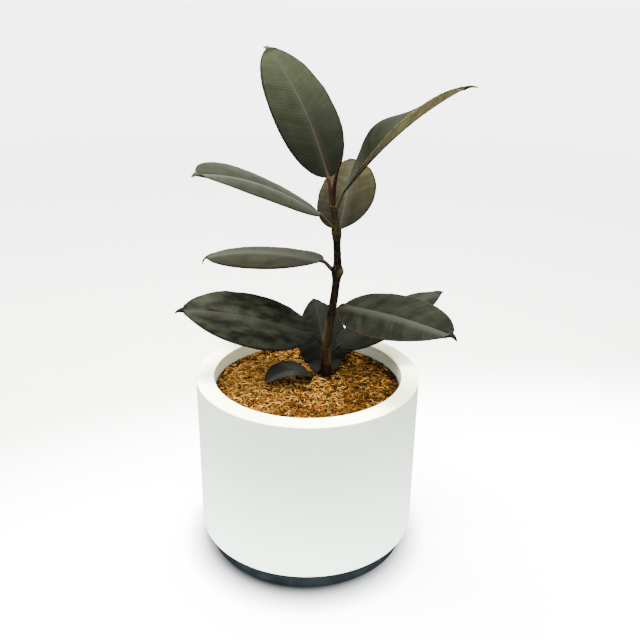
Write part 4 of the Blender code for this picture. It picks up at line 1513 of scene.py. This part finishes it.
def crowded(count, squeeze):
    """Numbers from 0 to 1 that stand closer together at both ends."""
    t = np.linspace(0, 1, count)
    return t - squeeze * np.sin(2 * pi * t) / (2 * pi)


def soft_max(first, second, power=4):
    """The larger of two heights, with a smooth join."""
    return (np.maximum(first, 0) ** power + np.maximum(second, 0) ** power) ** (1 / power)


def half_rows(leaf, look, along, rib, half, side, up, sign):
    """One half of the blade: rows of points above, below and midway, and how far out each lies."""
    share = half / (leaf.width / 2)
    run = along * leaf.length
    inside = np.clip(along, 0, 1)
    open_blade = np.clip(share * OPENING, 0, 1)
    near_tail = np.clip(1 + (along - 1) * leaf.length / TAIL_JOIN, 0, 1) * (leaf.tail > 0)
    keel = leaf.stalk * np.clip(1 - inside, 0, 1) ** KEEL_TAPER_POWER
    keel = keel * (look.keel_depth / KEEL_STALK) + KEEL_LEAST
    keel = leaf.stalk + (keel - leaf.stalk) * np.clip(inside / KEEL_START, 0, 1)
    crest = leaf.stalk * np.sqrt(np.clip(1 - inside / CREST_SPAN, 0, 1))
    seed = LEAVES.index(leaf) * 5.3
    lobe = leaf.lobe_right if sign > 0 else leaf.lobe_left
    back = -(half * np.clip(1 - along / LOBE_SPAN, 0, 1) ** 2)[:, None]
    back = back * directions(radians(leaf.heading), 0.0)
    fold = leaf.fold - leaf.unfold * along
    if sign < 0:
        fold = fold + leaf.lift * hump(along, leaf.lift_at, LIFT_SPREAD)
    slow = np.array([
        noise.noise((LONG_WAVES * a + sign * 3.1, seed, 0.5))
        + SHORT_WAVE_SHARE * noise.noise((SHORT_WAVES * a, seed, sign * 2.0))
        for a in along])

    def slope_at(way):
        """Slope of the half at a share of the way from the rib to the margin."""
        turned = look.margin_turn * np.clip((way - TURN_START) / (1 - TURN_START), 0, 1) * open_blade
        return (np.radians(fold + leaf.curl * share * way) - turned)[:, None]

    point = rib.copy()
    rows = []
    before = 0.0
    for way in crowded(BLADE_COLUMNS + 1, COLUMN_SQUEEZE):
        step = slope_at((way + before) / 2)
        point = point + (half * (way - before))[:, None] * (np.cos(step) * sign * side + np.sin(step) * up)
        before = way
        slope = slope_at(way)
        normal = np.cos(slope) * up - np.sin(slope) * sign * side
        out = half * way
        thick = look.margin_thickness + (look.thickness - look.margin_thickness) * (1 - way**2)
        at_tail = TAIL_THICKNESS * np.minimum(half, TAIL_HALF_WIDTH)
        thick = thick / 2 + (at_tail - thick / 2) * near_tail
        start = run - out * (VEIN_LEAN + VEIN_BEND * out)
        clear = np.clip(out / QUILT_FROM_RIB, 0, 1) * np.clip((1 - way) / QUILT_FROM_MARGIN, 0, 1)
        quilt = look.quilt_depth * clear * open_blade * -np.cos(2 * pi * start / look.vein_spacing)
        bumps = np.array([
            noise.noise((r / BUMP_LENGTH, sign * o / BUMP_WIDTH, seed)) for r, o in zip(run, out)])
        wave = look.wave_height * way**3 * open_blade * slow
        wave += look.bump_height * leaf.age * np.clip(out / BUMPS_FROM_RIB, 0, 1) * open_blade * bumps
        groove = look.groove_depth * hump(out, 0.0, GROOVE_WIDTH) * np.clip(inside / GROOVE_START, 0, 1)
        above = soft_max(thick, np.sqrt(np.clip(crest**2 - out**2, 0, None))) + quilt - groove
        below = soft_max(thick, np.sqrt(np.clip(keel**2 - out**2, 0, None))) - quilt
        swept = point + back * lobe * way**2
        heights = (wave + above, wave - below, wave)
        rows.append([swept + normal * height[:, None] for height in heights] + [out])
    return rows


def blade_rows(leaf, look, along, rib, half, side, up):
    """Points of the blade's closed cross-sections, with what the finish needs at each point."""
    run = along * leaf.length
    halves = {sign: half_rows(leaf, look, along, rib, half, side, up, sign) for sign in (1, -1)}
    order = [(-1, k) for k in range(BLADE_COLUMNS, 0, -1)] + [(1, k) for k in range(BLADE_COLUMNS + 1)]
    rings = []
    place = []
    span = []

    def add(points, across, face, edge):
        """Add one lengthwise row of points."""
        rings.append(points)
        place.append(np.stack((run, across, np.full_like(run, face)), axis=1))
        span.append(np.stack((along, edge, half), axis=1))

    def add_edge(sign):
        """Add the row along the very margin, between the two faces."""
        above, below, midway, out = halves[sign][BLADE_COLUMNS]
        outward = midway - halves[sign][BLADE_COLUMNS - 1][2]
        outward /= np.maximum(np.linalg.norm(outward, axis=1, keepdims=True), 1e-9)
        rounding = np.linalg.norm(above - below, axis=1, keepdims=True) * EDGE_ROUNDING
        add((above + below) / 2 + outward * rounding, sign * out, 0.5, np.zeros_like(run))

    for layer, columns, last in ((0, order, 1), (1, order[::-1], -1)):
        for sign, k in columns:
            row = halves[sign][k]
            add(row[layer], sign * row[3], 1.0 - layer, half - row[3])
        add_edge(last)
    return np.stack(rings, axis=1), np.stack(place, axis=1), np.stack(span, axis=1)


RING_COUNT = 2 * (2 * BLADE_COLUMNS + 1) + 2


def launch_of(leaf, base):
    """Slope at which the stalk leaves the stem, so that it reaches the blade in one bend."""
    joint = stem_axis(leaf.node)
    outward = directions(radians(leaf.heading), 0.0)
    run = (base - joint) @ outward - stem_at(leaf.node)[1] / 2 - leaf.stalk
    chord = np.degrees(np.arctan2(base[2] - joint[2], run))
    return radians(min(max(2 * chord - leaf.rise, LOWEST_LAUNCH), STEEPEST_LAUNCH))


def stalk_rows(leaf, base):
    """Rings of the stalk, from inside the stem's skin into the blade's start."""
    swell = leaf.stalk * STALK_SWELL
    ahead, blade_side, _blade_up = (rows[0] for rows in blade_frames(leaf, np.zeros(1)))
    heading = radians(leaf.heading)
    outward = directions(heading, 0.0)
    launch = launch_of(leaf, base)
    drop = max(2 * swell * sin(launch), 0)
    height = max(leaf.node - drop, swell + STALK_CLEARANCE)
    clear = TOUCH + max(stem_at(height + swell * cos(launch) * c)[1] / 2 + swell * sin(launch) * c
                        for c in (-1, -0.5, 0, 0.5, 1))
    foot = stem_axis(height) + outward * clear
    start_side = np.array((sin(heading), -cos(heading), 0.0))
    start_ahead = directions(heading, launch)
    reach = np.linalg.norm(base - foot) / 3
    root = foot - outward * (TOUCH + STALK_SUNK + STALK_SUNK_SHARE * swell * abs(sin(launch)))
    controls = (root, foot + start_ahead * reach, base - ahead * reach, base)
    turns = pi - (np.arange(RING_COUNT) + 1) * 2 * pi / RING_COUNT
    rings = []
    centres = []
    for t in np.linspace(0, 1, STALK_RINGS):
        weights = ((1 - t) ** 3, 3 * t * (1 - t) ** 2, 3 * t**2 * (1 - t), t**3)
        centre = sum(w * c for w, c in zip(weights, controls))
        turn = t * t * (3 - 2 * t)
        forward = (1 - turn) * start_ahead + turn * ahead
        forward /= np.linalg.norm(forward)
        side = (1 - turn) * start_side + turn * blade_side
        side -= forward * (side @ forward)
        side /= np.linalg.norm(side)
        up = np.cross(side, forward)
        thicker = (STALK_SWELL - 1) * hump(t, 0.0, STALK_SWELL_SPAN)
        thicker += STALK_END_SWELL * hump(t, 1.0, STALK_END_SPAN)
        channel = 1 - STALK_CHANNEL * np.clip(np.sin(turns), 0, 1) ** 6 * sin(pi * t)
        spoke = np.outer(np.cos(turns), side) + np.outer(np.sin(turns), up)
        rings.append(centre + leaf.stalk * (1 + thicker) * channel[:, None] * spoke)
        centres.append(centre)
    lengths = np.linalg.norm(np.diff(centres, axis=0), axis=1)
    length = np.concatenate(([0], np.cumsum(lengths)))
    before = np.repeat((length - length[-1])[:, None], RING_COUNT, 1)
    top = np.tile((np.sin(turns) > 0).astype(float), (STALK_RINGS, 1))
    place = np.stack((before, np.zeros_like(before), top), axis=2)
    from_edge = np.full_like(before, STALK_FROM_EDGE)
    span = np.stack((before / leaf.length, from_edge, np.full_like(before, leaf.stalk)), axis=2)
    return np.array(rings), place, span


def half_widths(leaf, along):
    """Half the width of the blade and its drip tip, where along is 1 at the blade's end."""
    t = 2 * np.clip(along, 0, 1) ** leaf.broad - 1
    oval = leaf.width / 2 * np.clip(1 - np.abs(t) ** OUTLINE_POWER, 0, None) ** OUTLINE_ROOT
    oval *= 1 - leaf.point * np.exp(np.minimum(along - 1, 0) * leaf.length / POINT_LENGTH)
    if not leaf.tail:
        return np.maximum(oval, TAIL_TIP_HALF_WIDTH)
    beyond = (along - 1) * leaf.length
    neck = TAIL_HALF_WIDTH + np.clip(-beyond, 0, NECK_LENGTH) * NECK_SPREAD
    narrower = (TAIL_TIP_HALF_WIDTH - TAIL_HALF_WIDTH) * np.clip(beyond / leaf.tail, 0, 1) ** TAIL_TAPER_POWER
    tip = np.where(beyond < 0, neck * np.clip(1 + beyond / NECK_START, 0, 1), TAIL_HALF_WIDTH + narrower)
    return soft_max(oval, tip, 3)


def make_leaf(leaf, look):
    """One leaf: its stalk, blade and drip tip in one closed mesh."""
    base = stem_axis(leaf.node) + leaf.reach * directions(radians(leaf.heading), radians(leaf.climb))
    stalk = stalk_rows(leaf, base)
    along = FIRST_RING + crowded(BLADE_RINGS, RING_SQUEEZE) * (1 - FIRST_RING)
    forward, side, up = blade_frames(leaf, along)
    steps = np.diff(along, prepend=0.0)[:, None] * leaf.length
    first = blade_frames(leaf, np.zeros(1))[0]
    means = (forward + np.vstack((first, forward[:-1]))) / 2
    rib = base + np.cumsum(means * steps, axis=0)
    if leaf.tail:
        t = np.arange(1, TAIL_RINGS + 1) / TAIL_RINGS
        slope = np.arcsin(forward[-1, 2]) - np.radians(leaf.tail_fall) * t
        heading = np.full(TAIL_RINGS, np.arctan2(forward[-1, 1], forward[-1, 0]))
        ahead = directions(heading, slope)
        rib = np.vstack((rib, rib[-1] + np.cumsum(ahead * leaf.tail / TAIL_RINGS, axis=0)))
        sides = np.repeat(side[-1:], TAIL_RINGS, axis=0)
        ups = np.cross(sides, ahead)
        ups /= np.linalg.norm(ups, axis=1, keepdims=True)
        side = np.vstack((side, sides))
        up = np.vstack((up, ups))
        along = np.concatenate((along, 1 + t * leaf.tail / leaf.length))
    blade = blade_rows(leaf, look, along, rib, half_widths(leaf, along), side, up)
    rings, place, span = (np.concatenate(pair) for pair in zip(stalk, blade))
    faces = ring_faces(len(rings), RING_COUNT)
    piece = mesh_piece(leaf.name + "_blade", rings.reshape(-1, 3), faces, leaf_material(leaf, look),
                       [leaf.name], angle=80)
    add_vectors(piece, "blade_place", place.reshape(-1, 3))
    add_vectors(piece, "blade_span", span.reshape(-1, 3))
    return piece


def make_floor(studio):
    """The wide pale floor: a painted glow in front of the planter, painted darker farther off, and a painted
    shadow close round its foot.
    """
    deselect_all()
    bpy.ops.mesh.primitive_circle_add(
        vertices=FLOOR_SIDES, radius=FLOOR_RADIUS, fill_type="NGON", location=(0, 0, 0))
    floor = bpy.context.object
    floor.name = "studio_floor"
    material, tree, shader = new_material("studio_floor_finish")
    place = place_on_object(tree)
    radius = add_node(tree, "ShaderNodeVectorMath", {0: place}, operation="LENGTH").outputs["Value"]
    rays = tree.nodes.new("ShaderNodeLightPath").outputs
    # Painted glow in front of the planter
    near = ramp(tree, far_from(tree, place, GLOW_CENTRE), *GLOW_EDGES, 1.0, 0.0)
    tones = (toned(studio.floor, share) for share in FAR_SHARES)
    # Floor painted darker farther off
    far = blend_colours(tree, ramp(tree, radius, *FAR_EDGES), *tones)
    tone = blend_colours(tree, near, far, studio.floor)
    # Painted shadow close round the foot
    clear = maths(tree, "SUBTRACT", far_from(tree, place, SHADOW_CENTRE), SHADOW_RADIUS)
    clear = maths(tree, "MAXIMUM", maths(tree, "DIVIDE", clear, SHADOW_WIDTH), 0.0)
    clear = maths(tree, "POWER", maths(tree, "MINIMUM", clear, 1.0), SHADOW_POWER)
    tone = blend_colours(tree, clear, SHADOW_TONE, tone)
    cast = blend_colours(tree, ramp(tree, radius, *CAST_EDGES), studio.cast_near, studio.cast_far)
    cast = blend_colours(tree, rays["Is Glossy Ray"], cast, CAST_ON_GLOSS)
    tone = blend_colours(tree, rays["Is Camera Ray"], cast, tone)
    tree.links.new(tone, shader.inputs["Base Color"])
    # Painted glow, seen only by the camera
    lit = times(tree, times(tree, near, clear), rays["Is Camera Ray"])
    tree.links.new(times(tree, lit, studio.floor_glow), shader.inputs["Emission Strength"])
    shader.inputs["Emission Color"].default_value = GLOW_TINT
    shader.inputs["Roughness"].default_value = FLOOR_ROUGHNESS
    shader.inputs["Specular IOR Level"].default_value = 0.0
    floor.data.materials.append(material)
    deselect_all()


def make_room(studio):
    """The white room: a bright ceiling, dim walls, and a gleam from above and behind."""
    world = bpy.data.worlds.new("white_room")
    world.use_nodes = True
    tree = world.node_tree
    tree.nodes.clear()
    axes = apart(tree, tree.nodes.new("ShaderNodeTexCoord").outputs["Generated"])
    rays = tree.nodes.new("ShaderNodeLightPath").outputs
    high = maths(tree, "MAXIMUM", axes["Z"], 0.0)
    light = ramp(tree, high, *CEILING_EDGES, studio.wall, studio.ceiling)
    to_right, to_back = GLEAM_SIDE
    behind = maths(tree, "MULTIPLY_ADD", axes["Y"], to_back, times(tree, axes["X"], to_right))
    risen = maths(tree, "POWER", high, GLEAM_RISE_POWER)
    gleam = maths(tree, "MULTIPLY_ADD", risen, GLEAM_RISE * studio.gleam, studio.gleam)
    gleam = times(tree, gleam, ramp(tree, behind, *GLEAM_EDGES, GLEAM_IN_FRONT, 1.0))
    light = scaled(tree, LIGHT_TINT, light)
    light = blend_colours(tree, rays["Is Glossy Ray"], light, scaled(tree, GLEAM_TINT, gleam))
    backdrop = [studio.backdrop * share for share in BACKDROP_TINT]
    light = blend_colours(tree, rays["Is Camera Ray"], light, backdrop)
    background = add_node(tree, "ShaderNodeBackground", {"Color": light, "Strength": 1.0})
    add_node(tree, "ShaderNodeOutputWorld", {"Surface": background.outputs[0]})
    bpy.context.scene.world = world


def make_softbox(studio):
    """One wide softbox overhead, a little behind the plant and to its left."""
    light = bpy.data.lights.new("overhead_softbox", "AREA")
    light.shape = "DISK"
    light.size = SOFTBOX_SIZE
    light.energy = studio.key_power
    light.color = SOFTBOX_TINT
    box = bpy.data.objects.new("overhead_softbox", light)
    box.location = SOFTBOX_PLACE
    box.rotation_euler = (Vector(SOFTBOX_AIM) - box.location).to_track_quat("-Z", "Y").to_euler()
    box.visible_glossy = False
    bpy.context.collection.objects.link(box)


def make_camera(studio):
    """The camera, looking a little down at the planter."""
    pitch, yaw, roll = (radians(angle) for angle in (CAMERA_PITCH, CAMERA_YAW, CAMERA_ROLL))
    ahead = Vector((sin(yaw) * cos(pitch), cos(yaw) * cos(pitch), -sin(pitch)))
    level = Vector((cos(yaw), -sin(yaw), 0.0))
    above = level.cross(ahead)
    right = cos(roll) * level + sin(roll) * above
    up = cos(roll) * above - sin(roll) * level
    data = bpy.data.cameras.new("camera")
    data.sensor_width = SENSOR_WIDTH
    data.lens = studio.lens
    data.clip_start = 0.01
    data.clip_end = 1000.0
    camera = bpy.data.objects.new("camera", data)
    turned = Matrix((right, up, -ahead)).transposed().to_4x4()
    camera.matrix_world = Matrix.Translation(CAMERA_PLACE) @ turned
    bpy.context.collection.objects.link(camera)
    bpy.context.scene.camera = camera


class PLANT_OT_planter(bpy.types.Operator):
    """Model the white drum planter and its black foot"""

    bl_idname = "plant.planter"
    bl_label = "Planter"

    def execute(self, context):
        planter = context.scene.plant_planter
        make_shell(planter)
        make_foot(planter)
        return {"FINISHED"}


class PLANT_OT_filling(bpy.types.Operator):
    """Model the nursery pot, the soil and the mulch's bed"""

    bl_idname = "plant.filling"
    bl_label = "Filling"

    def execute(self, context):
        make_liner(context.scene.plant_planter)
        mulch = context.scene.plant_mulch
        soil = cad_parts["potting_soil"]
        soil.data.materials.clear()
        soil.data.materials.append(crumbly("potting_soil_finish", mulch.soil, SOIL))
        make_mulch_base(mulch)
        return {"FINISHED"}


class PLANT_OT_mulch(bpy.types.Operator):
    """Scatter the shreds of mulch over their bed"""

    bl_idname = "plant.mulch"
    bl_label = "Mulch"

    def execute(self, context):
        make_shreds(context.scene.plant_mulch)
        return {"FINISHED"}


class PLANT_OT_stem(bpy.types.Operator):
    """Model the stem and the bud on its top"""

    bl_idname = "plant.stem"
    bl_label = "Stem and bud"

    def execute(self, context):
        stem = context.scene.plant_stem
        make_stem(stem)
        make_bud(stem)
        return {"FINISHED"}


class PLANT_OT_leaves(bpy.types.Operator):
    """Model every leaf"""

    bl_idname = "plant.leaves"
    bl_label = "Leaves"

    def execute(self, context):
        for leaf in LEAVES:
            make_leaf(leaf, context.scene.plant_leaves)
        return {"FINISHED"}


class PLANT_OT_studio(bpy.types.Operator):
    """Set up the floor, the lights and the camera"""

    bl_idname = "plant.studio"
    bl_label = "Studio"

    def execute(self, context):
        studio = context.scene.plant_studio
        make_floor(studio)
        make_room(studio)
        make_softbox(studio)
        make_camera(studio)
        return {"FINISHED"}


OPERATORS = (
    PLANT_OT_planter,
    PLANT_OT_filling,
    PLANT_OT_mulch,
    PLANT_OT_stem,
    PLANT_OT_leaves,
    PLANT_OT_studio,
)
SETTINGS = {
    "plant_planter": PlanterSettings,
    "plant_mulch": MulchSettings,
    "plant_stem": StemSettings,
    "plant_leaves": LeafSettings,
    "plant_studio": StudioSettings,
}


class PLANT_PT_pieces(bpy.types.Panel):
    """Lists the steps that build the plant, and their settings"""

    bl_label = "Rubber plant"
    bl_space_type = "VIEW_3D"
    bl_region_type = "UI"
    bl_category = "Rubber plant"

    def draw(self, context):
        layout = self.layout
        for operator in OPERATORS:
            layout.operator(operator.bl_idname)
        for name, group in SETTINGS.items():
            box = layout.box()
            box.label(text=name.removeprefix("plant_").capitalize())
            for setting in group.__annotations__:
                box.prop(getattr(context.scene, name), setting)


def register():
    for group in SETTINGS.values():
        bpy.utils.register_class(group)
    for name, group in SETTINGS.items():
        setattr(bpy.types.Scene, name, PointerProperty(type=group))
    for operator in OPERATORS:
        bpy.utils.register_class(operator)
    bpy.utils.register_class(PLANT_PT_pieces)


def unregister():
    bpy.utils.unregister_class(PLANT_PT_pieces)
    for operator in reversed(OPERATORS):
        bpy.utils.unregister_class(operator)
    for name, group in SETTINGS.items():
        delattr(bpy.types.Scene, name)
        bpy.utils.unregister_class(group)


def main():
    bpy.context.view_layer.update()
    register()
    bpy.ops.plant.planter()
    bpy.ops.plant.filling()
    bpy.ops.plant.mulch()
    bpy.ops.plant.stem()
    bpy.ops.plant.leaves()
    bpy.ops.plant.studio()


if __name__ == "__main__":
    main()
